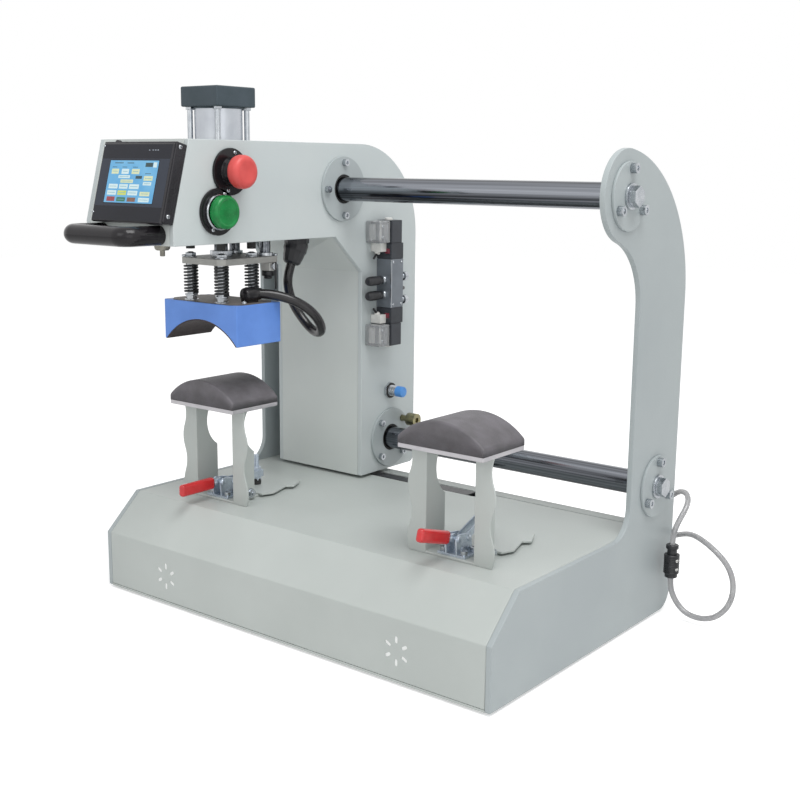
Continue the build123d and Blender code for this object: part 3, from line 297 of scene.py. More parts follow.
# Hard-chromed ground steel: mirror-like, with the faint lines of grinding round it.
CHROME = Finish(
    "hard_chrome", "#8C9096", "#5E6268", 7.0, 0.15, 0.05, 1.0, grain=0.9, relief=0.0008,
    stretch=(1.0, 6.0, 6.0),
)
# The same on the long shafts, with dark and bright bands painted along them as painted
# reflections.
SHAFT_CHROME_PAINTED_REFLECTION = Finish(
    "ground_chrome_shaft_painted_reflection", "#A8ACB4", "#2C2E32", 9.0, 0.14, 0.04, 1.0, grain=3.0, relief=0.0006,
    stretch=(400.0, 1.0, 1.0), streaked=True,
)
# Bright zinc on screws, nuts and rods: shiny, with a slightly uneven gloss.
BRIGHT_STEEL = Finish(
    "bright_zinc_plate", "#C4C8CC", "#AEB3B8", 12.0, 0.24, 0.08, 1.0, grain=1.2, relief=0.002
)
# Zinc plate with a blue passivated film: bright, a little cloudy.
BLUE_ZINC = Finish(
    "blue_passivated_zinc", "#CDD6E0", "#B4BFCC", 10.0, 0.34, 0.09, 0.75, grain=1.0, relief=0.003
)
# Yellow passivated zinc: brass-like, dull in places.
YELLOW_ZINC = Finish(
    "yellow_passivated_zinc", "#A9A27C", "#8E8A72", 8.0, 0.32, 0.08, 1.0, grain=1.0, relief=0.003
)
# Milled aluminium plate: pale, with fine cutter lines along x.
MILLED_ALUMINIUM = Finish(
    "milled_aluminium", "#C9C7CA", "#BEBCC0", 30.0, 0.38, 0.06, 0.85, grain=0.8, relief=0.004,
    stretch=(8.0, 1.0, 1.0),
)
# Drawn and anodised barrel: satin, with faint lines along z.
SATIN_ALUMINIUM = Finish(
    "satin_anodised_aluminium", "#CCD0D5", "#BDC1C8", 50.0, 0.36, 0.04, 0.9, grain=0.7,
    relief=0.002, stretch=(1.0, 1.0, 12.0),
)
# Surface-ground steel plate: grey and only half bright.
PLATE_STEEL = Finish(
    "ground_plate_steel", "#A8A8A4", "#9D9D9A", 24.0, 0.45, 0.08, 0.7, grain=1.0, relief=0.004
)
# Painted die casting: dark slate, dry and slightly rough.
SLATE_CAST = Finish(
    "slate_painted_casting", "#3B474F", "#334047", 30.0, 0.48, 0.06, 0.1, grain=1.1, relief=0.02
)
# Baked enamel on the block: clear blue, half gloss.
BLUE_ENAMEL = Finish(
    "blue_baked_enamel", "#628FDC", "#5A86D2", 40.0, 0.38, 0.05, grain=1.8, relief=0.02
)
# Glued heater lining: dark brown, dry and uneven.
DARK_LINING = Finish(
    "dark_heater_lining", "#3B3132", "#2E2728", 18.0, 0.6, 0.1, grain=1.4, relief=0.05
)
# Silicone rubber pad: dull grey, with lighter patches painted in as a soft sheen: painted sheen.
GREY_SILICONE = Finish(
    "grey_silicone_rubber", "#5B595C", "#69666B", 22.0, 0.5, 0.1, grain=0.9, relief=0.03,
    specular=0.35,
)
# Moulded rubber: dull black.
BLACK_RUBBER = Finish(
    "black_rubber", "#202022", "#2A2A2C", 20.0, 0.65, 0.1, grain=0.8, relief=0.03
)
# Injection-moulded nylon: black, half gloss, with a fine spark texture.
BLACK_PLASTIC = Finish(
    "black_moulded_plastic", "#1D1E21", "#242529", 25.0, 0.36, 0.06, grain=0.7, relief=0.012
)
# Moulded ABS: black and smooth.
GLOSS_BLACK = Finish(
    "gloss_black_plastic", "#171518", "#1D1B1E", 30.0, 0.2, 0.04, grain=1.4, relief=0.004,
    specular=0.35,
)
# Silicone-sleeved cable: black, with long soft highlights.
BLACK_SLEEVE = Finish(
    "black_silicone_sleeve", "#151416", "#1E1C1F", 18.0, 0.22, 0.06, grain=1.2, relief=0.02
)
# Dipped vinyl grip: saturated red under a glossy skin.
RED_VINYL = Finish(
    "red_dipped_vinyl", "#C8282C", "#B92226", 12.0, 0.22, 0.05, grain=1.6, relief=0.02, coat=0.3
)
# Moulded nylon mushroom: red, half matt.
RED_MUSHROOM = Finish(
    "red_moulded_knob", "#CF4F4C", "#C34542", 20.0, 0.42, 0.05, grain=1.0, relief=0.01
)
# Moulded polycarbonate cap: deep green, glossy.
GREEN_CAP = Finish(
    "green_moulded_cap", "#17803F", "#106B33", 12.0, 0.24, 0.04, grain=1.4, relief=0.01,
    specular=0.35,
)
# Extruded polyurethane tube: milky and half clear.
CLEAR_TUBE = Finish(
    "clear_polyurethane_tube", "#BDBDBE", "#B0B0B2", 14.0, 0.14, 0.04, grain=2.0, relief=0.004,
    clear=0.5,
)
# Lit display: the colour comes from behind the glass.
SCREEN_BLUE = Finish(
    "lit_display", "#4BA3DA", "#7CC0E8", 60.0, 0.2, 0.02, grain=0.8, relief=0.0005, glow=0.9
)
# Tiles of the lit display: plain light with no gloss of their own.
TILES = tuple(
    Finish("lit_tile_" + name, colour, drift, 9.0, 0.3, relief=0.0, glow=0.9)
    for name, colour, drift in (
        ("pale", "#CFE9EE", "#DDF1F2"), ("cream", "#D5E2B4", "#E3E8C4"),
        ("lime", "#C9D65A", "#D6DE78"), ("red", "#A63E46", "#8F333C"),
        ("green", "#2F7A55", "#2A6B52"), ("dark", "#2C4A4C", "#274347"),
        ("brown", "#8A5F49", "#7A5442"), ("bar", "#6FA9BE", "#7DB2C3"),
    )
)
# Moulded ABS housing: black with a satin sheen.
SATIN_BLACK = Finish(
    "satin_black_housing", "#1D1C20", "#242328", 30.0, 0.3, 0.05, grain=0.9, relief=0.01,
    specular=0.4,
)
# Black back-printed glass: nearly mirror smooth.
PANEL_GLASS = Finish(
    "black_panel_glass", "#14161F", "#181A24", 40.0, 0.2, 0.02, grain=1.0, relief=0.0005,
    specular=0.3,
)
# Slate-blue keypad film: smooth and half matt.
PANEL_SLATE = Finish(
    "slate_panel_film", "#2C313D", "#303642", 40.0, 0.34, 0.03, grain=0.6, relief=0.002,
    specular=0.3,
)
# Screen-printed marks: flat pale ink.
PALE_PRINT = Finish("pale_indicator", "#B9C2CC", "#AEB8C4", 6.0, 0.4, relief=0.0)
# Pressed filter gauze: white and matt, with fibres drawn coarse enough to show.
WHITE_GAUZE = Finish(
    "white_filter_gauze", "#F2F3F2", "#E9EBEA", 6.0, 0.8, 0.1, grain=0.8, relief=0.05
)
# Natural nylon: milky white, half matt.
WHITE_CAP = Finish("milky_nylon", "#DCDCD8", "#D0D0CC", 10.0, 0.35, 0.05, grain=1.0, relief=0.01)
# Brown-grey dry sheet laid on the block's top.
BROWN_TOP_SHEET = Finish(
    "brown_grey_top_sheet", "#6B625C", "#5D554F", 20.0, 0.55, 0.1, grain=1.0, relief=0.03
)
# Oil-blackened spring wire: nearly black, half matt.
BLACK_SPRING = Finish(
    "black_oxide_spring_wire", "#1E2022", "#2A2D2F", 8.0, 0.38, 0.08, 0.0, grain=0.8, relief=0.004
)
# Dark colour in sockets, screw crosses and holes: painted shade for the shade inside them.
RECESS_SHADE_STEEL = Finish(
    "socket_painted_shade", "#3A3D41", "#2C2E31", 6.0, 0.4, 0.08, 0.8, grain=0.8, relief=0.004
)
# Nickel-plated brass knob: warm grey.
KNOB_STEEL = Finish(
    "grey_brass_knob", "#8F8D84", "#7F7D74", 8.0, 0.36, 0.06, 0.8, grain=0.8, relief=0.006
)
# Grey anodised extrusion: even and satin.
VALVE_ALUMINIUM = Finish(
    "grey_anodised_valve_body", "#7B8188", "#71777E", 30.0, 0.4, 0.05, 0.5, grain=0.7,
    relief=0.003,
)
# Glass-filled nylon of the coils: charcoal and dry.
CHARCOAL_PLASTIC = Finish(
    "charcoal_glass_filled_nylon", "#2A2D33", "#30343A", 20.0, 0.5, 0.06, grain=0.7, relief=0.02
)
# Bare foil label: black, smooth.
LABEL_BLACK = Finish(
    "bare_black_label", "#33373E", "#2E3138", 20.0, 0.4, 0.04, grain=1.0, relief=0.002
)
# Grey moulded terminal carrier.
LABEL_GREY = Finish(
    "grey_terminal_carrier", "#8E9295", "#7F8386", 7.0, 0.5, 0.06, grain=0.9, relief=0.02
)
# Moulded acrylic lens, unlit: dark red and shiny.
RED_LENS = Finish(
    "dark_red_lens", "#7A1F33", "#5E1828", 3.0, 0.2, 0.04, grain=1.0, relief=0.01, coat=0.3
)
# Moulded nose of the sensor: bright blue, half gloss.
SENSOR_BLUE = Finish(
    "blue_sensor_nose", "#4F93DC", "#4788D0", 8.0, 0.32, 0.05, grain=0.9, relief=0.008
)
# Clear polycarbonate shell: faintly grey, shows the terminals inside.
CLEAR_SHELL = Finish(
    "clear_polycarbonate", "#E4E6E8", "#DADDE0", 14.0, 0.16, 0.04, grain=2.0, relief=0.01,
    clear=0.72,
)

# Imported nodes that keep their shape, under their finish, each with the radius of its edges and
# the length under which an edge stays sharp, in mm.
DRESS = {
    CASE_PAINT: {
        "base_casing": (1.6, 30.0), "base_floor": (), "rear_cover": (1.0, 30.0),
        "cap_stands": (0.8,), "tongue_plates": (0.6,),
    },
    # These take the side-plate coat, painted darker as painted shade.
    SHADED_PLATE_PAINT: {
        "right_side_plate": (1.2,), "left_side_plate": (1.2,), "shaft_end_flanges": (0.9,),
        "linear_bearings": (0.8,),
    },
    HEAD_PAINT: {"head_right_plate": (1.0,), "head_left_plate": (1.0,)},
    # The column cover takes the coat painted lighter as painted light.
    LIT_COVER_PAINT: {"head_cover": ()},
    # The shafts take painted reflection bands along their length.
    SHAFT_CHROME_PAINTED_REFLECTION: {"guide_shafts": ()},
    CHROME: {"ram_rods": ()},
    BRIGHT_STEEL: {
        "shaft_end_bolts": (0.5,), "flange_screws": (), "stand_screws": (), "bearing_screws": (),
        "tie_rods": (),
    },
    BLUE_ZINC: {"clamp_bases": (0.3,)},
    YELLOW_ZINC: {"stop_buffer": ()},
    MILLED_ALUMINIUM: {"pad_plates": (0.8,), "arm_floor_plate": ()},
    SATIN_ALUMINIUM: {"cylinder_barrel": ()},
    PLATE_STEEL: {"pressure_plate": (0.9,)},
    DARK_LINING: {"block_lining": ()},
    BLACK_RUBBER: {"rubber_feet": (), "arm_bumpers": ()},
    BLACK_PLASTIC: {"cable_chain": (), "guide_bushes": (), "estop_stem": ()},
    GLOSS_BLACK: {"grab_handle": ()},
}


# ------------------------------------------------------------------- shapes


class Shape:
    """A mesh in the making, in mm, in the object's frame."""

    def __init__(self) -> None:
        """Starts an empty mesh."""
        self.mesh = bmesh.new()

    def _new(self, before: set, finish: int) -> list:
        """Gives new faces their material slot.

        Args:
            before: The faces that were there before.
            finish: Material slot.

        Returns:
            The new faces.
        """
        made = [f for f in self.mesh.faces if f not in before]
        for face in made:
            face.material_index = finish
        return made

    def _listed(self, parts: set) -> list:
        """Lists edges or vertices in the mesh's own order, so that each run makes the same mesh.

        Args:
            parts: The edges or the vertices.

        Returns:
            The same parts, in order.
        """
        self.mesh.edges.index_update()
        self.mesh.verts.index_update()
        return sorted(parts, key=lambda part: part.index)

    def _soften(self, faces: list, soft: float, segments: int) -> None:
        """Rounds the sharp edges of some faces.

        Args:
            faces: The faces.
            soft: Radius of the edges, in mm.
            segments: Steps round each edge.
        """
        if soft <= 0:
            return
        edges = {e for f in faces for e in f.edges if e.calc_face_angle(0.0) > SHARP}
        self._bevel(edges, soft, segments, True)

    def _bevel(self, edges: set, soft: float, segments: int, clamp: bool = False) -> None:
        """Rounds edges with a true round section.

        Args:
            edges: The edges.
            soft: Their radius, in mm.
            segments: Steps round each edge.
            clamp: Whether rounded edges stop where they meet.
        """
        bmesh.ops.bevel(
            self.mesh, geom=self._listed(edges), offset=soft, offset_type="OFFSET",
            segments=segments, profile=0.5, affect="EDGES", clamp_overlap=clamp, material=-1,
        )

    def round_copy(self, faces: list, soft: float, segments: int, shortest: float = 0.0) -> None:
        """Merges flat neighbours among copied faces and rounds their sharp edges.

        Args:
            faces: The copied faces.
            soft: Radius of the edges, in mm.
            segments: Steps round each edge.
            shortest: Edges shorter than this stay as they are, and nothing is merged.
        """
        if not shortest:
            others = set(self.mesh.faces) - set(faces)
            edges = {e for f in faces for e in f.edges}
            verts = {v for f in faces for v in f.verts}
            bmesh.ops.dissolve_limit(
                self.mesh, angle_limit=FLAT, verts=self._listed(verts), edges=self._listed(edges)
            )
            faces = [f for f in self.mesh.faces if f not in others]
        sharp = {
            e for f in faces for e in f.edges
            if e.calc_face_angle(0.0) > SHARP_COPY and e.calc_length() >= shortest
        }
        self._bevel(sharp, soft, segments)

    def block(
        self, low: Point, high: Point, soft: float = 0.0, finish: int = 0, segments: int = 2,
        turn: Optional[Matrix] = None,
    ) -> "Shape":
        """Adds a block.

        Args:
            low: Lowest corner.
            high: Highest corner.
            soft: Radius of its edges.
            finish: Material slot.
            segments: Steps round each edge.
            turn: Turns it about its middle.

        Returns:
            The shape itself.
        """
        before = set(self.mesh.faces)
        low, high = Vector(low), Vector(high)
        size = high - low
        matrix = Matrix.Translation((low + high) / 2)
        if turn is not None:
            matrix = matrix @ turn.to_4x4()
        bmesh.ops.create_cube(self.mesh, size=1.0, matrix=matrix @ Matrix.Diagonal((*size, 1.0)))
        self._soften(self._new(before, finish), soft, segments)
        self._new(before, finish)
        return self

    def rod(
        self, start: Point, end: Point, radius: float, soft: float = 0.0, finish: int = 0,
        sides: int = 40, tip: Optional[float] = None, segments: int = 2,
    ) -> "Shape":
        """Adds a round or many-sided rod, or a cone.

        Args:
            start: Middle of one end.
            end: Middle of the other end.
            radius: Radius at the start.
            soft: Radius of the rims.
            finish: Material slot.
            sides: Number of sides.
            tip: Radius at the end, if it differs.
            segments: Steps round each rim.

        Returns:
            The shape itself.
        """
        before = set(self.mesh.faces)
        start, end = Vector(start), Vector(end)
        run = end - start
        turn = run.to_track_quat("Z", "Y").to_matrix().to_4x4()
        bmesh.ops.create_cone(
            self.mesh,
            cap_ends=True,
            segments=sides,
            radius1=radius,
            radius2=radius if tip is None else tip,
            depth=run.length,
            matrix=Matrix.Translation((start + end) / 2) @ turn,
        )
        self._soften(self._new(before, finish), soft, segments)
        self._new(before, finish)
        return self

    def turned(
        self, profile: Sequence[tuple[float, float]], base: Point, axis: Axis | Point,
        finish: int = 0, steps: int = 48,
    ) -> "Shape":
        """Adds a turned shape.

        Args:
            profile: Radius and height pairs, from one pole or rim to the other.
            base: Point where the height is 0.
            axis: Direction of the height.
            finish: Material slot.
            steps: Steps round the axis.

        Returns:
            The shape itself.
        """
        before = set(self.mesh.faces)
        base, axis = Vector(base), unit(axis)
        side = axis.orthogonal().normalized()
        points = [
            self.mesh.verts.new(base + side * radius + axis * height)
            for radius, height in profile
        ]
        edges = [self.mesh.edges.new(pair) for pair in zip(points, points[1:])]
        bmesh.ops.spin(
            self.mesh,
            geom=points + edges,
            cent=base,
            axis=axis,
            dvec=(0, 0, 0),
            angle=2 * math.pi,
            steps=steps,
            use_merge=True,
        )
        made = [f for f in self.mesh.faces if f not in before]
        verts = self._listed({v for f in made for v in f.verts})
        bmesh.ops.remove_doubles(self.mesh, verts=verts, dist=1e-4)
        made = self._new(before, finish)
        bmesh.ops.recalc_face_normals(self.mesh, faces=made)
        return self

    def prism(
        self, outline: Sequence[Point], run: Point, soft: float = 0.0, finish: int = 0,
        segments: int = 2,
    ) -> "Shape":
        """Adds a flat outline drawn out along a run.

        Args:
            outline: Corners of the outline, in order.
            run: How far and where it is drawn out.
            soft: Radius of its edges.
            finish: Material slot.
            segments: Steps round each edge.

        Returns:
            The shape itself.
        """
        before = set(self.mesh.faces)
        face = self.mesh.faces.new([self.mesh.verts.new(p) for p in outline])
        drawn = bmesh.ops.extrude_face_region(self.mesh, geom=[face], use_keep_orig=True)
        moved = [g for g in drawn["geom"] if isinstance(g, bmesh.types.BMVert)]
        bmesh.ops.translate(self.mesh, verts=moved, vec=Vector(run))
        made = [f for f in self.mesh.faces if f not in before]
        bmesh.ops.recalc_face_normals(self.mesh, faces=made)
        self._soften(made, soft, segments)
        self._new(before, finish)
        return self

    def coil(
        self, base: Point, radius: float, wire: float, height: float, turns: float,
        finish: int = 0, sides: int = 10, steps: int = 28,
    ) -> "Shape":
        """Adds a compression spring that stands along z, with flat closed ends.

        Args:
            base: Middle of its foot.
            radius: Radius to the middle of the wire.
            wire: Wire diameter.
            height: Its whole height.
            turns: Number of open turns.
            finish: Material slot.
            sides: Sides of the wire.
            steps: Steps of each turn.

        Returns:
            The shape itself.
        """
        before = set(self.mesh.faces)
        x, y, z = base
        ring = bmesh.ops.create_circle(
            self.mesh,
            segments=sides,
            radius=wire / 2,
            matrix=Matrix.Translation((x + radius, y, z + wire / 2))
            @ Matrix.Rotation(math.pi / 2, 4, "X"),
        )["verts"]
        rim = self._listed({e for v in ring for e in v.link_edges})
        open_height = height - 3 * wire
        for lift, share in ((wire, 1.0), (open_height, turns), (wire, 1.0)):
            steps_here = max(3, round(steps * share))
            swept = bmesh.ops.spin(
                self.mesh,
                geom=rim,
                cent=(x, y, z),
                axis=(0, 0, 1),
                dvec=(0, 0, lift / steps_here),
                angle=2 * math.pi * share,
                steps=steps_here,
            )
            rim = [g for g in swept["geom_last"] if isinstance(g, bmesh.types.BMEdge)]
        bmesh.ops.holes_fill(self.mesh, edges=[e for e in self.mesh.edges if e.is_boundary])
        made = self._new(before, finish)
        bmesh.ops.recalc_face_normals(self.mesh, faces=made)
        return self

    def copy_of(
        self, node: str, soft: float = 0.0, segments: int = 2, finish: int = 0,
        shortest: float = 0.0,
    ) -> "Shape":
        """Adds a merged copy of a CAD node, with softened edges.

        Args:
            node: The node's name.
            soft: Radius of its edges, in mm.
            segments: Steps round each edge.
            finish: Material slot.
            shortest: Edges shorter than this stay as they are, in mm.

        Returns:
            The shape itself.
        """
        before = set(self.mesh.faces)
        start = len(self.mesh.verts)
        self.mesh.from_mesh(frame["nodes"][node].data)
        self.mesh.verts.ensure_lookup_table()
        verts = self.mesh.verts[start:]
        bmesh.ops.scale(self.mesh, vec=(1 / MM,) * 3, verts=verts)
        bmesh.ops.remove_doubles(self.mesh, verts=verts, dist=1e-3)
        made = [f for f in self.mesh.faces if f not in before]
        if soft > 0:
            self.round_copy(made, soft, segments, shortest)
        self._new(before, finish)
        return self

    def place(self, matrix: Matrix) -> "Shape":
        """Moves the whole shape by a matrix."""
        bmesh.ops.transform(self.mesh, matrix=matrix, verts=self.mesh.verts)
        return self

    def close(
        self, name: str, body: str, finishes: Sequence[Finish], slot: str,
        stands_for: Sequence[str] = (), smooth: float = 30.0,
    ) -> Object:
        """Ends the shape as an object that rides on a body.

        Args:
            name: The piece's name.
            body: The body it rides on.
            finishes: Its finishes, in slot order.
            slot: The record's material slot; not used.
            stands_for: CAD nodes that it replaces.
            smooth: Faces that meet at less than this angle are shaded smooth.

        Returns:
            The finished object.
        """
        bmesh.ops.scale(self.mesh, vec=(MM,) * 3, verts=self.mesh.verts)
        data = bpy.data.meshes.new(name)
        self.mesh.to_mesh(data)
        self.mesh.free()
        for finish in finishes:
            data.materials.append(finish.build())
        data.shade_smooth()
        data.set_sharp_from_angle(angle=math.radians(smooth))
        made = add_object(name, data)
        flat = made.modifiers.new("flat_faces", "WEIGHTED_NORMAL")
        flat.mode = "FACE_AREA"
        flat.keep_sharp = True
        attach(made, body)
        if stands_for:
            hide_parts(*stands_for)
        return made


# ------------------------------------------------------------- camera, room


@dataclass
class Studio:
    """Camera, lamps, world and floor."""

    lens: float = 53.767
    azimuth: float = 38.2292
    down: float = 11.0940
    roll: float = 0.5617
    eye: tuple[float, float, float] = (1.07025, -1.26545, 0.63417)
    room_light: float = 0.68
    floor_light: float = 0.42
    floor_half: float = 6.0
    lamps: tuple = (
        ("key", (0.2, -2.7, 1.9), 1.4, 9.0),
        ("fill", (2.6, -1.6, 1.0), 1.8, 7.0),
        ("top", (0.9, -0.4, 2.5), 1.3, 35.0),
    )

    def camera(self) -> None:
        """Sets the camera."""
        azimuth, down, roll = (math.radians(a) for a in (self.azimuth, self.down, self.roll))
        right = Vector((math.cos(azimuth), math.sin(azimuth), 0))
        ahead = Vector(
            (
                -math.sin(azimuth) * math.cos(down),
                math.cos(azimuth) * math.cos(down),
                -math.sin(down),
            )
        )
        above = right.cross(ahead)
        side = math.cos(roll) * right + math.sin(roll) * above
        top = -math.sin(roll) * right + math.cos(roll) * above
        data = bpy.data.cameras.new("view")
        data.lens = self.lens
        data.sensor_width = 36.0
        data.clip_start = 0.05
        made = add_object("view", data)
        made.matrix_world = Matrix.Translation(self.eye) @ Matrix(
            (side, top, -ahead)
        ).transposed().to_4x4()
        bpy.context.scene.camera = made

    def lamp(self, name: str, place: Point, size: float, power: float) -> None:
        """Adds a soft square lamp that looks at the object's middle.

        Args:
            name: The lamp's name.
            place: Where it stands, in metres.
            size: Length of its sides, in metres.
            power: Its power, in watts.
        """
        data = bpy.data.lights.new(name, "AREA")
        data.shape = "SQUARE"
        data.size = size
        data.energy = power
        made = add_object(name, data)
        towards = Vector((0.0, 0.0, 0.3)) - Vector(place)
        made.matrix_world = Matrix.Translation(place) @ towards.to_track_quat(
            "-Z", "Y"
        ).to_matrix().to_4x4()

    def world(self) -> None:
        """Lights the room evenly and shows it white where it is seen or mirrored."""
        world = bpy.data.worlds.new("studio")
        bpy.context.scene.world = world
        world.use_nodes = True
        tree = world.node_tree
        tree.nodes.clear()
        path = add_node(tree, "ShaderNodeLightPath")
        seen = add_node(
            tree,
            "ShaderNodeMath",
            {"operation": "MAXIMUM"},
            {0: path.outputs["Is Camera Ray"], 1: path.outputs["Is Transmission Ray"]},
        )
        seen = add_node(
            tree,
            "ShaderNodeMath",
            {"operation": "MAXIMUM"},
            {0: seen.outputs[0], 1: path.outputs["Is Glossy Ray"]},
        )
        lit, white = (
            add_node(tree, "ShaderNodeBackground", {"Color": linear("#FFFFFF"), "Strength": power})
            for power in (self.room_light, 1.0)
        )
        mixed = add_node(
            tree,
            "ShaderNodeMixShader",
            None,
            {0: seen.outputs[0], 1: lit.outputs[0], 2: white.outputs[0]},
        )
        add_node(tree, "ShaderNodeOutputWorld", None, {"Surface": mixed.outputs[0]})

    def floor(self) -> None:
        """Lays the pale floor."""
        shape = bmesh.new()
        bmesh.ops.create_grid(shape, x_segments=1, y_segments=1, size=self.floor_half)
        data = bpy.data.meshes.new("floor")
        shape.to_mesh(data)
        shape.free()
        made = add_object("floor", data)
        material = bpy.data.materials.new("pale_studio_floor")
        material.use_nodes = True
        tree = material.node_tree
        tree.nodes.clear()
        path = add_node(tree, "ShaderNodeLightPath")
        matt = add_node(tree, "ShaderNodeBsdfDiffuse", {"Color": linear("#F4F4F4")})
        light = {"Color": linear("#FFFFFF"), "Strength": self.floor_light}
        glow = add_node(tree, "ShaderNodeEmission", light)
        lit = add_node(tree, "ShaderNodeAddShader", None, {0: matt.outputs[0], 1: glow.outputs[0]})
        mixed = add_node(
            tree,
            "ShaderNodeMixShader",
            None,
            {0: path.outputs["Is Camera Ray"], 1: matt.outputs[0], 2: lit.outputs[0]},
        )
        add_node(tree, "ShaderNodeOutputMaterial", None, {"Surface": mixed.outputs[0]})
        data.materials.append(material)

    def build(self) -> None:
        """Sets up the whole room."""
        self.camera()
        self.world()
        self.floor()
        for lamp in self.lamps:
            self.lamp(*lamp)
        bpy.context.scene.view_settings.view_transform = "Standard"


# -------------------------------------------------------------------- cords


@dataclass
class Cord:
    """A flexible line: a smooth spline through its route.

    Attributes:
        name: The piece's name.
        node: The CAD node it stands for.
        body: The body it rides on.
        route: Points of the route, in mm.
        length: Real length, in mm; not used.
        diameter: Real diameter, in mm.
        finish: Its finish.
        slot: The record's material slot; not used.
        stiffness: How stiff it is; not used.
        follows: A second body; when given, the cord is made a plain mesh in place, on no body.
        bend: Where the bending starts and ends, in mm; not used.
    """

    name: str
    node: str
    body: str
    route: Sequence[Point]
    length: float
    diameter: float
    finish: Finish
    slot: str
    stiffness: str
    follows: str = ""
    bend: Sequence[Point] = ()

    def as_mesh(self, drawn: Object) -> tuple[Object, list[Vector]]:
        """Turns a drawn curve into a mesh piece.

        Args:
            drawn: The curve object, which is removed.

        Returns:
            The mesh object and the points of its centreline, in metres.
        """
        tube = bpy.data.meshes.new_from_object(self.evaluated(drawn))
        drawn.data.bevel_depth = 0.0
        line = bpy.data.meshes.new_from_object(self.evaluated(drawn))
        path = [vertex.co.copy() for vertex in line.vertices]
        bpy.data.meshes.remove(line)
        bpy.data.objects.remove(drawn)
        tube.name = self.name
        tube.shade_smooth()
        return add_object(self.name, tube), path

    @staticmethod
    def evaluated(drawn: Object) -> Object:
        """The object as the dependency graph sees it now."""
        bpy.context.view_layer.update()
        return drawn.evaluated_get(bpy.context.evaluated_depsgraph_get())

    def build(self) -> Object:
        """Returns:
            The cord's object.
        """
        data = bpy.data.curves.new(self.name, "CURVE")
        data.dimensions = "3D"
        data.bevel_depth = self.diameter / 2 * MM
        data.bevel_resolution = 6
        data.resolution_u = 10
        data.use_fill_caps = True
        spline = data.splines.new("NURBS")
        spline.points.add(len(self.route) - 1)
        for point, place in zip(spline.points, self.route):
            point.co = (*(Vector(place) * MM), 1.0)
        spline.order_u = 3
        spline.use_endpoint_u = True
        data.materials.append(self.finish.build())
        made = add_object(self.name, data)
        path = None
        if self.follows:
            made, path = self.as_mesh(made)
            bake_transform(made)
        else:
            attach(made, self.body)
        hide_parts(self.node)
        return made


CORDS = (
    Cord(
        "supply_tube_upper",
        "upper_air_tube",
        "base",
        (
            (296, 249, 114), (296, 266, 114), (298, 284, 118), (303, 298, 127),
            (311, 309, 139), (322, 317, 150), (334, 320, 162), (347, 317, 171),
            (361, 308, 173), (371, 295, 167), (373, 282, 156), (371, 269, 144),
            (369, 260, 132), (368, 256, 120), (368, 256, 109),
        ),
        228,
        8,
        CLEAR_TUBE,
        "clear_tube",
        "medium",
    ),
    Cord(
        "supply_tube_lower",
        "lower_air_tube",
        "base",
        (
            (368, 256, 61), (368, 256, 48), (372, 256, 35), (381, 255, 23),
            (394, 253, 14), (410, 252, 11), (427, 251, 13), (443, 250, 21),
            (457, 250, 37), (464, 250, 57), (463, 250, 79), (454, 250, 98),
            (438, 251, 112), (419, 258, 120), (401, 270, 122), (385, 284, 120),
            (369, 298, 115), (353, 308, 108), (334, 309, 101), (319, 298, 96),
            (313, 281, 94), (312, 265, 94), (312, 249, 94),
        ),
        408,
        8,
        CLEAR_TUBE,
        "clear_tube",
        "medium",
    ),
    Cord(
        "heater_cable",
        "heater_lead",
        "head",
        (
            (-174.7, 47, 487.6), (-175.58, 42.8, 475.44), (-177, 41.5, 462), (-177.3, 44, 448),
            (-175.2, 48, 434), (-169.9, 51, 421), (-161.5, 54, 408.8), (-150, 55, 397.5),
            (-137, 54, 389.7), (-121.4, 49, 387.9), (-107.2, 40, 393.8), (-101, 31, 404.9),
            (-101.7, 22, 416.8), (-107.2, 13, 427.4), (-115.7, 3, 436.3), (-125.1, -8, 443),
            (-138, -21, 448.3), (-149.5, -31.5, 450.6), (-158.5, -41, 450.6),
            (-163, -52, 450), (-163, -62, 450),
        ),
        295,
        14,
        BLACK_SLEEVE,
        "black_sleeve",
        "medium",
        "ram",
        ((-170, 55, 450), (-170, -48, 450)),
    ),
)


# ------------------------------------------------------------ sub-assemblies


def rising(origin: Point, rise: Vector, ahead: Vector) -> Matrix:
    """Frame whose y runs along rise and whose z runs along ahead.

    Args:
        origin: Where the frame's middle lies.
        rise: Direction of its y.
        ahead: Direction of its z.

    Returns:
        The matrix that places things in that frame.
    """
    rise, ahead = Vector(rise).normalized(), Vector(ahead).normalized()
    side = rise.cross(ahead)
    return Matrix.Translation(origin) @ Matrix((side, rise, ahead)).transposed().to_4x4()


def cap_screw(shape: Shape, seat: Point, axis: Axis | Point, radius: float, height: float,
              finish: int = 0, dark: int = 1) -> None:
    """Adds a socket screw head to a shape.

    Args:
        shape: The shape.
        seat: Middle of the head's foot.
        axis: Direction that the head points in.
        radius: Head radius.
        height: Head height.
        finish: Material slot of the head.
        dark: Material slot of the socket, coloured dark as painted shade.
    """
    rim = min(0.6, height / 4)
    shape.turned(
        ((0, 0), (radius, 0), (radius, height - rim), (radius - rim, height),
         (radius * 0.56, height), (radius * 0.5, height - 0.3)),
        seat, axis, finish, 28,
    )
    shape.turned(
        ((radius * 0.5, height - 0.3), (radius * 0.5, height * 0.45), (0, height * 0.45)),
        seat, axis, dark, 6,
    )


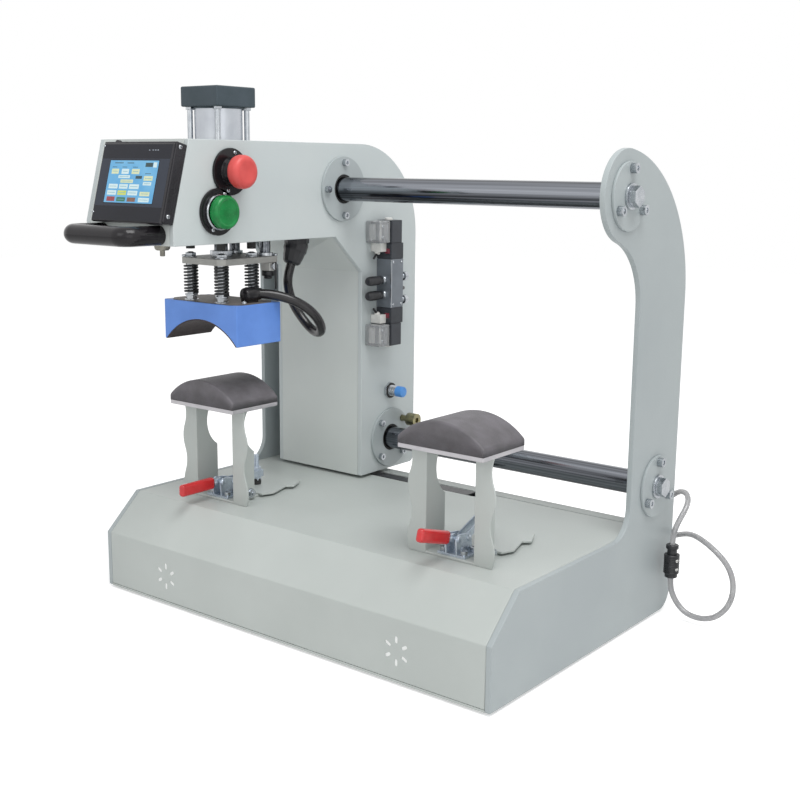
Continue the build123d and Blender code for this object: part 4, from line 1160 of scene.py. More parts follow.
def cross_screw(shape: Shape, seat: Point, axis: Axis | Point, radius: float,
                finish: int = 0, dark: int = 1) -> None:
    """Adds a domed cross-head screw to a shape.

    Args:
        shape: The shape.
        seat: Middle of the head's foot.
        axis: Direction that the head points in.
        radius: Head radius.
        finish: Material slot of the head.
        dark: Material slot of the cross, coloured dark as painted shade.
    """
    height = radius * 0.6
    shape.turned(
        ((0, 0), (radius, 0), (radius, height * 0.35), (radius * 0.8, height * 0.8),
         (radius * 0.4, height), (0, height * 1.03)),
        seat, axis, finish, 24,
    )
    axis = unit(axis)
    turn = axis.to_track_quat("Z", "Y").to_matrix()
    middle = Vector(seat) + axis * height * 0.86
    for long_x, long_y in ((0.62, 0.13), (0.13, 0.62)):
        size = Vector((radius * long_x, radius * long_y, height * 0.22))
        shape.block(middle - size, middle + size, 0.0, dark, turn=turn)


class Side(Enum):
    """Left and right station."""

    LEFT = -1
    RIGHT = 1

    @property
    def word(self) -> str:
        """The side's name in lower case."""
        return self.name.lower()

    @property
    def middle(self) -> float:
        """X of the station's middle."""
        return self.value * 216.5


@dataclass
class BaseCase:
    """Sheet casing, rear cover, feet and what is screwed to them."""

    front: float = -175.0
    rear: float = 237.0
    vent_x: tuple[float, float] = (-218.75, 208.75)
    vent_z: float = 45.0
    vent_radius: float = 24.0
    cover_screw: float = 3.4
    screw_x: tuple[float, ...] = (-318.0, -106.0, 106.0, 270.0)
    screw_z: tuple[float, float] = (128.0, 18.0)
    pins: tuple = ((-257.0, 61.5), (-243.0, 61.5), (-250.0, 67.0))
    inlet_screws: tuple[float, float] = (-270.5, -229.5)
    inlet_z: float = 64.0
    port_places: tuple = ((296.0, 114.0), (312.0, 94.0))

    def vents(self) -> None:
        """Puts the pale backing sheets behind both rings of vent slots."""
        shape = Shape()
        for x in self.vent_x:
            deep, shallow = (x, self.front + 4.6, self.vent_z), (x, self.front + 0.8, self.vent_z)
            shape.rod(deep, shallow, self.vent_radius)
        shape.close("vent_backing", "base", (WHITE_GAUZE,), "grey_paint")

    def cover_screws(self) -> None:
        """Puts pan-head screws round the rear cover and into the casing's ends."""
        shape = Shape()
        for x in self.screw_x:
            for z in self.screw_z:
                cross_screw(shape, (x, self.rear, z), Axis.Y, self.cover_screw)
        shape.close("cover_screws", "base", (BRIGHT_STEEL, BLACK_PLASTIC), "zinc")

    def inlet(self) -> None:
        """Builds the power inlet: shroud, three pins and its two screws."""
        shape = Shape().copy_of("power_inlet", 0.5)
        for x, z in self.pins:
            low, high = (x - 1.0, self.rear - 16.0, z - 2.2), (x + 1.0, self.rear - 1.5, z + 2.2)
            shape.block(low, high, 0.4, 1)
        for x in self.inlet_screws:
            cross_screw(shape, (x, self.rear + 3.0, self.inlet_z), Axis.Y, 2.6, 1, 0)
        shape.close(
            "power_inlet_piece", "base", (BLACK_PLASTIC, BRIGHT_STEEL), "black_plastic",
            ("power_inlet",),
        )

    def ports(self) -> None:
        """Builds the two push-in ports of the air tube."""
        shape = Shape()
        for x, z in self.port_places:
            face = (x, self.rear, z)
            shape.rod(face, (x, self.rear + 4.5, z), 9.0, 0.5, 0, 6)
            shape.turned(
                ((4.1, 4.0), (8.2, 4.0), (8.2, 9.4), (7.6, 10.0), (6.6, 10.0), (6.6, 11.2),
                 (6.1, 11.8), (4.1, 11.8)),
                face, Axis.Y, 1,
            )
            shape.rod((x, self.rear - 16.0, z), (x, self.rear + 0.5, z), 5.6, 0.3)
        shape.close(
            "air_ports_piece", "base", (BRIGHT_STEEL, BLACK_PLASTIC), "zinc", ("air_ports",)
        )

    def build(self) -> None:
        """Builds all of it."""
        self.vents()
        self.cover_screws()
        self.inlet()
        self.ports()


@dataclass
class HandValve:
    """In-line slide valve on the air tube."""

    x: float = 368.0
    y: float = 256.0
    middle: float = 85.0
    half: float = 24.0
    span: tuple[float, float] = (-17.9, 9.9)
    ribs: int = 9
    screw_side: tuple[float, float, float] = (0.94, -0.34, 0.0)

    def build(self) -> None:
        """Builds the core with its push-in ends and the ribbed sleeve with two screws."""
        foot = (self.x, self.y, self.middle)
        core = Shape()
        half = self.half
        core.turned(
            ((4.1, -half), (8.2, -half), (8.9, -half + 0.7), (8.9, -half + 5.2),
             (8.0, -half + 6.2), (6.9, -half + 6.6), (6.9, half - 6.6), (8.0, half - 6.2),
             (8.9, half - 5.2), (8.9, half - 0.7), (8.2, half), (4.1, half)),
            foot, Axis.Z,
        )
        core.close(
            "slide_valve_core_piece", "base", (BLACK_PLASTIC,), "black_plastic",
            ("slide_valve_core",),
        )
        sleeve = Shape()
        low, high = self.span
        profile = [(7.4, low), (10.4, low), (11.0, low + 0.6)]
        step = (high - low - 4.0) / self.ribs
        for rib in range(self.ribs):
            start = low + 2.0 + rib * step
            profile += [(11.0, start), (10.4, start + 0.5), (10.4, start + step * 0.45),
                        (11.0, start + step * 0.45 + 0.5)]
        profile += [(11.0, high - 0.6), (10.4, high), (7.4, high), (7.4, low)]
        sleeve.turned(profile, foot, Axis.Z, 0, 40)
        towards = unit(self.screw_side)
        for lift in (low + 7.5, high - 7.5):
            seat = Vector(foot) + towards * 10.2 + Vector((0, 0, lift))
            sleeve.rod(seat, seat + towards * 0.7, 2.5, 0.3, 1, 20)
        sleeve.close(
            "slide_valve_sleeve_piece", "hand_valve_sleeve", (BLACK_PLASTIC, WHITE_CAP),
            "black_plastic", ("slide_valve_sleeve",),
        )


@dataclass
class Station:
    """Cap stand with its silicone pad and toggle clamp."""

    side: Side
    lift: float
    lever_pivot: tuple[float, float] = (-69.0, 167.0)
    arm_pivot: tuple[float, float] = (-47.0, 164.0)
    arm_ratio: float = 1.4
    arm_reach: float = 57.0
    grip: tuple[float, float, float] = (11.0, 64.0, 18.0)
    leg: float = 41.0
    leg_bolt: tuple[float, float] = (-43.0, 150.5)
    small_rivets: tuple = ((-60.5, 152.5), (-47.0, 150.5))

    def turn(self, pivot: tuple[float, float], degrees: float) -> Matrix:
        """Turns a piece of the clamp about its pivot, up from closed.

        Args:
            pivot: Y and z of the pivot.
            degrees: How far it is turned.

        Returns:
            The matrix that turns it.
        """
        centre = Vector((self.side.middle, *pivot))
        return (
            Matrix.Translation(centre)
            @ Matrix.Rotation(math.radians(degrees), 4, "X")
            @ Matrix.Translation(-centre)
        )

    def pad(self) -> None:
        """Builds the domed silicone pad with a softly rounded skirt."""
        node = self.side.word + "_pad"
        shape = Shape().copy_of(node)
        made = shape.close(
            node + "_piece", "base", (GREY_SILICONE,), "grey_silicone", (node,), 50.0
        )

    def feet(self) -> None:
        """Puts the hex bolts and washers at the foot of the stand."""
        shape = Shape()
        x = self.side.middle
        for hand in (-1, 1):
            out = Vector((hand, 0, 0))
            seat = Vector((x + hand * self.leg, *self.leg_bolt))
            shape.rod(seat, seat + out * 1.2, 7.5, 0.2)
            shape.rod(seat + out * 1.2, seat + out * 5.6, 5.8, 0.5, 0, 6)
            shape.rod(seat + out * 5.6, seat + out * 8.0, 3.0, 0.4, 0, 20)
        shape.close(self.side.word + "_stand_bolts", "base", (BRIGHT_STEEL,), "zinc")

    def clamp_base(self) -> None:
        """Builds rivet heads on the clamp's ears."""
        shape = Shape()
        x = self.side.middle
        for hand in (-1, 1):
            out = Vector((hand, 0, 0))
            for y, z in (self.lever_pivot, self.arm_pivot):
                seat = Vector((x + hand * 9.4, y, z))
                shape.turned(
                    ((0, 0), (4.6, 0), (4.6, 0.7), (3.6, 2.0), (1.6, 2.7), (0, 2.8)),
                    seat, out, 0, 24,
                )
                # Dark dimple in each rivet head: painted shade.
                shape.turned(((0, 2.8), (1.5, 2.7), (1.2, 2.2), (0, 2.1)), seat, out, 1, 16)
            for y, z in self.small_rivets:
                seat = Vector((x + hand * 9.2, y, z))
                shape.turned(((0, 0), (2.6, 0), (2.4, 0.9), (0, 1.2)), seat, out, 0, 20)
        shape.close(self.side.word + "_clamp_rivets", "base", (BLUE_ZINC, RECESS_SHADE_STEEL), "zinc")

    def lever(self) -> None:
        """Builds the hand lever: dipped grip, blade, hub and link cheeks."""
        x = self.side.middle
        y, z = self.lever_pivot
        width, length, height = self.grip
        near = y - 12.0
        shape = Shape()
        shape.block((x - 2.0, y - 60.0, z - 4.5), (x + 2.0, y, z + 4.5), 0.6)
        shape.rod((x - 2.1, y, z), (x + 2.1, y, z), 6.0, 0.4)
        for hand in (-1, 1):
            low, high = sorted((x + hand * 2.2, x + hand * 3.9))
            shape.prism(
                ((low, y - 12.0, z - 3.5), (low, y + 3.0, z - 4.6), (low, y + 5.4, z + 1.0),
                 (low, y + 1.5, z + 5.4), (low, y - 5.0, z + 5.8), (low, y - 12.0, z + 4.0)),
                (high - low, 0, 0), 0.4,
            )
            seat = Vector((x + hand * 3.9, y - 9.0, z))
            shape.turned(((0, 0), (2.3, 0), (1.7, 0.8), (0, 1.1)), seat, (hand, 0, 0), 0, 16)
        shape.block(
            (x - width / 2, near - length, z - height / 2), (x + width / 2, near, z + height / 2),
            4.6, 1, 5,
        )
        shape.place(self.turn(self.lever_pivot, -self.lift))
        shape.close(
            self.side.word + "_clamp_lever_piece", self.side.word + "_lever",
            (BLUE_ZINC, RED_VINYL), "red_vinyl", (self.side.word + "_clamp_lever",), 40.0,
        )

    def arm(self) -> None:
        """Builds the hold-down arm: two bars, spindle, nuts and rubber tip."""
        x = self.side.middle
        y, z = self.arm_pivot
        end = y + self.arm_reach + 9.0
        spindle = y + self.arm_reach
        shape = Shape()
        for hand in (-1, 1):
            low, high = sorted((x + hand * 4.2, x + hand * 6.7))
            shape.block((low, y - 6.0, z - 5.5), (high, end, z + 5.5), 1.2)
        shape.block((x - 6.7, end - 2.5, z - 5.5), (x + 6.7, end, z + 5.5), 1.0)
        shape.rod((x, spindle, 158.6), (x, spindle, 194.0), 3.7, 0.6)
        for turn in range(12):
            foot = 175.8 + turn * 1.45
            shape.turned(
                ((3.7, 0), (4.05, 0.35), (4.05, 0.6), (3.7, 0.95)), (x, spindle, foot),
                Axis.Z, 0, 24,
            )
        for foot in (z + 5.5, z - 10.5):
            shape.rod((x, spindle, foot), (x, spindle, foot + 5.0), 7.5, 0.5, 0, 6)
        shape.rod((x, spindle, z + 5.5), (x, spindle, z + 6.3), 8.2, 0.2)
        shape.turned(
            ((0, 0), (5.6, 0), (6.6, 0.6), (7.0, 2.0), (7.0, 8.6), (6.2, 10.4), (4.2, 12.0),
             (0, 12.0)),
            (x, spindle, 146.6), Axis.Z, 1, 32,
        )
        shape.place(self.turn(self.arm_pivot, self.lift * self.arm_ratio))
        shape.close(
            self.side.word + "_clamp_arm_piece", self.side.word + "_hold_arm",
            (BLUE_ZINC, BLACK_RUBBER), "zinc", (self.side.word + "_clamp_arm",), 35.0,
        )

    def build(self) -> None:
        """Builds all of it."""
        self.pad()
        self.feet()
        self.clamp_base()
        self.lever()
        self.arm()


@dataclass
class TouchPanel:
    """Slanted operator panel with its lit display."""

    foot: tuple[float, float, float] = (-216.5, -223.5, 556.0)
    run: float = 30.0
    climb: float = 110.0
    shift: float = 17.0
    width: float = 146.0
    span: tuple[float, float] = (-1.0, 105.5)
    shell: float = 18.0
    unit: tuple[float, float, float] = (142.0, -4.0, 103.0)
    face: float = 20.2
    lit: tuple[float, float, float, float] = (-49.8, 22.0, 48.2, 79.0)

    def frame(self) -> Matrix:
        """The sloped arm front.

        Returns:
            The frame with x to the right, y up the slope and z off it.
        """
        rise = Vector((0.0, self.run, self.climb)).normalized()
        ahead = Vector((1.0, 0.0, 0.0)).cross(rise)
        return rising(Vector(self.foot) + Vector((self.shift, 0, 0)), rise, ahead)

    def housing(self) -> None:
        """Builds the shell, the unit on it, its glass, screws and side knob."""
        half = self.width / 2
        foot, head = self.span
        wide, low, high = self.unit[0] / 2, self.unit[1], self.unit[2]
        tall = high - low
        shape = Shape()
        shape.block((-half, foot, 0), (half, head, self.shell), 1.6, 0, 3)
        for rib in (4.6, 8.0):
            deep, proud = (half - 1.0, foot + 1.0, rib), (half + 0.25, head - 1.0, rib + 1.2)
            shape.block(deep, proud, 0.5, 0)
        shape.block((-wide, low, self.shell - 4.5), (wide, high, self.face), 2.2, 0, 4)
        glass = self.face - 0.1
        top, sill = low + tall * 0.80, low + tall * 0.20
        shape.block((-wide + 2.6, top, glass - 1), (wide - 2.6, high - 2.4, glass + 0.25), 0.3, 1)
        shape.block((-wide + 2.6, low + 2.4, glass - 1), (wide - 2.6, sill, glass + 0.25), 0.3, 1)
        shape.block((-wide + 2.6, sill, glass - 1), (wide - 2.6, top, glass + 0.3), 0.3, 2)
        x0, y0, x1, y1 = self.lit
        shape.block((x0 - 1.4, y0 - 1.4, glass), (x1 + 1.4, y1 + 1.4, glass + 0.36), 0.2, 1)
        for y in (foot + 9.0, head - 6.0):
            cross_screw(shape, (half, y, self.shell * 0.62), Axis.X, 2.9, 3, 1)
            cross_screw(shape, (-half, y, self.shell * 0.62), Axis.BACK_X, 2.9, 3, 1)
        for y in (foot + 14.0, head - 2.0):
            cross_screw(shape, (-wide + 2.4, y - 5.0, self.face), Axis.Z, 1.7, 3, 1)
        for x in (24.0, 31.0, 36.0, 41.0):
            shape.block((x, high - 10.4, glass), (x + 2.4, high - 9.5, glass + 0.32), 0.0, 4)
        shape.turned(
            ((0, 0), (4.5, 0), (4.5, 2.4), (3.6, 3.8), (0, 3.9)),
            (-half + 18.0, head, self.shell / 2), Axis.Y, 0, 28,
        )
        shape.place(self.frame())
        shape.close(
            "panel_housing", "head",
            (SATIN_BLACK, PANEL_GLASS, PANEL_SLATE, BRIGHT_STEEL, PALE_PRINT),
            "black_plastic", ("panel_box", "panel_screen"),
        )

    def display(self) -> None:
        """Builds the lit display and its plain coloured tiles."""
        x0, y0, x1, y1 = self.lit
        glass = self.face
        shape = Shape()
        shape.block((x0, y0, glass), (x1, y1, glass + 0.35), 0.0, 0)
        tiles = (
            (0.06, 0.20, 0.15, 0.12, 2), (0.27, 0.20, 0.15, 0.12, 1), (0.48, 0.20, 0.16, 0.12, 2),
            (0.22, 0.35, 0.24, 0.07, 1), (0.58, 0.36, 0.13, 0.07, 6), (0.75, 0.36, 0.18, 0.11, 2),
            (0.28, 0.45, 0.26, 0.08, 2), (0.75, 0.50, 0.17, 0.08, 1), (0.05, 0.56, 0.19, 0.11, 1),
            (0.27, 0.56, 0.18, 0.11, 1), (0.48, 0.56, 0.20, 0.11, 1), (0.04, 0.71, 0.19, 0.11, 1),
            (0.26, 0.71, 0.18, 0.11, 3), (0.47, 0.71, 0.20, 0.11, 1), (0.72, 0.73, 0.20, 0.10, 2),
            (0.05, 0.86, 0.17, 0.11, 4), (0.26, 0.87, 0.18, 0.10, 5), (0.48, 0.87, 0.17, 0.10, 7),
            (0.71, 0.87, 0.22, 0.10, 1), (0.74, 0.05, 0.15, 0.10, 6), (0.90, 0.04, 0.07, 0.12, 1),
            (0.10, 0.05, 0.18, 0.02, 6), (0.36, 0.05, 0.14, 0.02, 6), (0.06, 0.15, 0.10, 0.015, 6),
            (0.27, 0.15, 0.10, 0.015, 6), (0.49, 0.15, 0.10, 0.015, 6),
            (0.76, 0.30, 0.12, 0.015, 6),
        )
        for left, drop, wide, tall, finish in tiles:
            low = (x0 + left * (x1 - x0), y1 - (drop + tall) * (y1 - y0), glass + 0.1)
            high = (x0 + (left + wide) * (x1 - x0), y1 - drop * (y1 - y0), glass + 0.45)
            shape.block(low, high, 0.14, finish, 1)
            if finish in (1, 2, 3, 5) and wide > 0.14:
                shape.block(
                    (low[0] + 2.4, (low[1] + high[1]) / 2 - 0.35, high[2] - 0.1),
                    (high[0] - 2.4, (low[1] + high[1]) / 2 + 0.35, high[2] + 0.04), 0.0, 8,
                )
        shape.place(self.frame())
        shape.close("panel_display", "head", (SCREEN_BLUE, *TILES), "screen")

    def build(self) -> None:
        """Builds the whole panel."""
        self.housing()
        self.display()


@dataclass
class PushButtons:
    """Emergency stop and start button on the arm's side."""

    face: float = -122.5
    stop: tuple[float, float, float] = (-110.5, -122.5, 624.0)
    start: tuple[float, float, float] = (-116.5, -147.0, 571.0)
    stop_screws: tuple[int, int] = (105, 285)
    start_screws: tuple[int, int] = (115, 295)
    screw_ring: float = 26.0

    def bases(self) -> None:
        """Builds the round backing plates, their collars and screws."""
        shape = Shape().copy_of("button_bases", 0.7)
        for (_, y, z), turns in ((self.stop, self.stop_screws), (self.start, self.start_screws)):
            for angle in map(math.radians, turns):
                aside, up = self.screw_ring * math.cos(angle), self.screw_ring * math.sin(angle)
                cross_screw(shape, (self.face, y - aside, z + up), Axis.X, 2.7, 1, 2)
        shape.turned(
            ((7.7, 0), (19.0, 0), (19.4, 0.8), (18.4, 3.0), (17.2, 8.6), (16.4, 10.2),
             (12.5, 11.0), (7.7, 11.0)),
            (self.face, *self.stop[1:]), Axis.X, 0,
        )
        shape.turned(
            ((7.7, 0), (23.8, 0), (24.4, 0.8), (24.4, 3.4), (23.8, 4.9), (23.2, 5.1), (22.9, 4.8),
             (22.9, 2.7), (7.7, 2.7)),
            (self.face, *self.start[1:]), Axis.X, 1,
        )
        shape.close(
            "button_plates", "head", (GLOSS_BLACK, BRIGHT_STEEL, BLACK_PLASTIC), "gloss_black",
            ("button_bases",),
        )

    def heads(self) -> None:
        """Builds the red mushroom and the green cap."""
        red = Shape()
        red.turned(
            ((0, 0), (7.2, 0), (7.2, 4.6), (17.6, 4.6), (17.6, 0.6), (18.2, 0.3), (19.6, 0.9),
             (21.8, 2.8), (22.5, 5.6), (22.5, 11.2), (21.9, 14.2),
             (20.4, 16.7), (18.0, 18.4), (15.0, 19.0), (13.5, 18.7), (6.0, 18.3), (0, 18.2)),
            self.stop, Axis.X, 0, 64,
        )
        red.close("stop_mushroom", "stop_knob", (RED_MUSHROOM,), "red_button", ("estop_head",), 50)
        cap = Shape()
        cap.turned(
            ((0, 0), (21.0, 0), (22.3, 0.8), (22.5, 2.0), (22.5, 8.6), (21.6, 11.4), (19.6, 12.9),
             (18.0, 13.0), (17.0, 12.2), (16.0, 11.9), (9.0, 12.3), (0, 12.5)),
            self.start, Axis.X, 0, 64,
        )
        cap.turned(
            ((0, -20.4), (7.2, -20.4), (7.2, 0.2), (0, 0.2)), self.start,
            Axis.X, 1, 24,
        )
        cap.close(
            "start_cap", "start_knob", (GREEN_CAP, BLACK_PLASTIC), "green_button",
            ("start_button",), 50,
        )

    def build(self) -> None:
        """Builds both buttons."""
        self.bases()
        self.heads()


@dataclass
class AirCylinder:
    """Square-capped cylinder that drives the ram."""

    x: float = -216.5
    y: float = -56.0
    half: float = 37.5
    tie: float = 28.25
    caps: tuple = ((543.0, 571.0), (713.0, 741.0))
    collar: float = 35.5
    inset: float = 0.05

    def build(self) -> None:
        """Builds the caps, the barrel's bands, the tie nuts and a fitting."""
        shape = Shape()
        for low, high in self.caps:
            shape.block(
                (self.x - self.half, self.y - self.half, low),
                (self.x + self.half, self.y + self.half, high - self.inset), 2.2, 0, 3,
            )
        low, high = self.caps[1]
        for sx in (-1, 1):
            for sy in (-1, 1):
                place = (self.x + sx * self.tie, self.y + sy * self.tie)
                # Dark disc round each tie screw stands for its hole: painted shade.
                shape.turned(((5.4, 0.0), (5.4, -0.4), (0, -0.4)), (*place, high), Axis.Z, 2, 24)
                cap_screw(shape, (*place, high - 5.0), Axis.Z, 4.8, 4.8, 1, 2)
                shape.rod((*place, low - 4.0), (*place, low), 6.4, 0.4, 1, 6)
        shape.rod((self.x, self.y, low - 2.5), (self.x, self.y, low), self.collar, 0.6, 0, 64)
        elbow = Vector((self.x - self.half, self.y, (low + high) / 2))
        shape.rod(elbow, elbow + Vector((-5, 0, 0)), 8.0, 0.5, 1, 6)
        shape.rod(elbow + Vector((-5, 0, 0)), elbow + Vector((-16, 0, 0)), 6.6, 1.6, 3, 32)
        shape.rod(
            elbow + Vector((-10.0, 0, -13.0)), elbow + Vector((-10.0, 0, 0)), 6.2, 1.0, 3, 32
        )
        shape.close(
            "cylinder_caps_piece", "head", (SLATE_CAST, BRIGHT_STEEL, RECESS_SHADE_STEEL, BLACK_PLASTIC),
            "slate_cap", ("cylinder_caps",),
        )


ROD_PLACES = ((-248.5, -86.0), (-248.5, -26.0), (-184.5, -86.0), (-184.5, -26.0))


@dataclass
class PressUnit:
    """Plate, spring rods, heated block and what hangs under the arm."""

    x: float = -216.5
    y: float = -56.0
    rods: tuple = ROD_PLACES
    block_top: float = 438.5
    plate: tuple[float, float] = (492.5, 502.0)
    sheet: tuple[float, float, float, float] = (-290.5, -142.5, -98.0, -14.0)
    sheet_cut: float = 15.0
    sheet_thickness: float = 0.8
    guides: tuple = ((-248.5, 2.0), (-184.5, 2.0))
    screws: tuple = ((-256.0, 16.0), (-177.0, 16.0), (-256.0, -92.0), (-177.0, -92.0))
    switch: tuple[float, float] = (-186.0, 9.0)
    cable_tip: tuple[float, float, float] = (-163.0, -64.0, 449.6)
    cable_run: tuple[float, float, float] = (4.0, 31.0, 1.2)

    def spring_rods(self) -> None:
        """Builds the rods with their collars, washers, nuts and threaded ends."""
        shape = Shape()
        top = self.plate[1]
        for x, y in self.rods:
            shape.rod((x, y, self.block_top), (x, y, top + 6.0), 5.6, 0.3)
            shape.rod((x, y, self.block_top), (x, y, self.block_top + 2.0), 10.2, 0.4)
            shape.rod((x, y, self.block_top + 2.0), (x, y, self.block_top + 8.0), 8.6, 0.6, 0, 6)
            shape.rod((x, y, self.block_top + 8.0), (x, y, self.block_top + 10.0), 9.6, 0.4)
            shape.rod((x, y, top), (x, y, top + 1.2), 9.2, 0.3)
            shape.turned(
                ((0, 7.6), (3.2, 7.4), (5.2, 6.4), (6.2, 5.4)), (x, y, top), Axis.Z, 0, 24
            )
            shape.rod((x, y, top + 1.2), (x, y, top + 6.0), 8.2, 0.7, 0, 6)
        shape.close("spring_rods_piece", "platen", (BRIGHT_STEEL,), "zinc", ("spring_rods",), 35.0)

    def block(self) -> None:
        """Builds the enamelled block with its brown-grey top sheet."""
        shape = Shape().copy_of("heating_block")
        gone = [v for v in shape.mesh.verts if v.co.z > self.block_top + 0.5]
        bmesh.ops.delete(shape.mesh, geom=gone, context="VERTS")
        loose = [v for v in shape.mesh.verts if not v.link_faces]
        bmesh.ops.delete(shape.mesh, geom=loose, context="VERTS")
        rim = [e for e in shape.mesh.edges if e.is_boundary]
        bmesh.ops.holes_fill(shape.mesh, edges=rim)
        shape.round_copy(list(shape.mesh.faces), 1.1, 3)
        shape.close(
            "heating_block_piece", "platen", (BLUE_ENAMEL,), "blue_block", ("heating_block",)
        )
        sheet = Shape()
        x0, x1, y0, y1 = self.sheet
        cut = self.sheet_cut
        sheet.prism(
            ((x0 + cut, y0, self.block_top), (x1 - cut, y0, self.block_top),
             (x1, y0 + cut, self.block_top), (x1, y1 - cut, self.block_top),
             (x1 - cut, y1, self.block_top), (x0 + cut, y1, self.block_top),
             (x0, y1 - cut, self.block_top), (x0, y0 + cut, self.block_top)),
            (0, 0, self.sheet_thickness), 0.3,
        )
        sheet.close("block_top_sheet", "platen", (BROWN_TOP_SHEET,), "dark_lining")

    def sleeve(self) -> None:
        """Builds the stiff sleeve that joins the heater cable to the block."""
        shape = Shape()
        run = Vector(self.cable_run).length
        shape.turned(
            ((0, 0), (8.4, 0.0), (10.2, 0.8), (10.8, 2.6), (10.8, run * 0.5), (10.0, run * 0.62),
             (9.0, run * 0.85), (8.0, run - 1.0), (7.2, run), (0, run)),
            self.cable_tip, self.cable_run, 0, 40,
        )
        shape.block((-171.0, -62.0, self.block_top), (-155.0, -42.0, 446.0), 1.2, 0)
        cap_screw(shape, (-150.0, -76.0, self.block_top + 1.2), Axis.Z, 3.6, 3.2, 1, 0)
        shape.close("cable_sleeve", "platen", (BLACK_SLEEVE, BRIGHT_STEEL), "black_plastic")

    def clip(self) -> None:
        """Builds the small switch block under the plate, with its knob and bracket."""
        shape = Shape()
        x, y, z = *self.switch, self.plate[0]
        shape.block((x - 9.0, y - 6.0, z - 13.0), (x + 9.0, y + 8.0, z), 1.0, 0)
        shape.rod((x + 10.0, y + 1.0, z - 6.0), (x + 13.5, y + 1.0, z - 6.0), 5.4, 0.4, 2, 6)
        shape.rod((x, y, z - 21.0), (x, y, z - 13.0), 9.6, 1.8, 1, 32)
        shape.rod((x, y, z - 25.0), (x, y, z - 21.0), 6.2, 1.2, 1, 24)
        shape.rod((x + 13.0, y + 3.0, z - 40.0), (x + 13.0, y + 3.0, z), 1.6, 0.3, 1, 16)
        finishes = (WHITE_CAP, BLACK_PLASTIC, BRIGHT_STEEL)
        shape.close("plate_switch", "ram", finishes, "black_plastic")

    def plate_screws(self) -> None:
        """Puts the ram's nut and the guide rods' screws on the plate."""
        shape = Shape()
        top = self.plate[1]
        shape.rod((self.x, self.y, top), (self.x, self.y, top + 9.0), 17.0, 0.8, 0, 6)
        for x, y in self.guides:
            shape.rod((x, y, top), (x, y, top + 5.0), 12.0, 0.6, 0, 48)
        for x, y in self.screws:
            cap_screw(shape, (x, y, top), Axis.Z, 3.4, 3.0, 0, 1)
        shape.close("plate_nuts", "ram", (BRIGHT_STEEL, RECESS_SHADE_STEEL), "zinc")

    def build(self) -> None:
        """Builds all of it."""
        self.spring_rods()
        self.block()
        self.sleeve()
        self.clip()
        self.plate_screws()


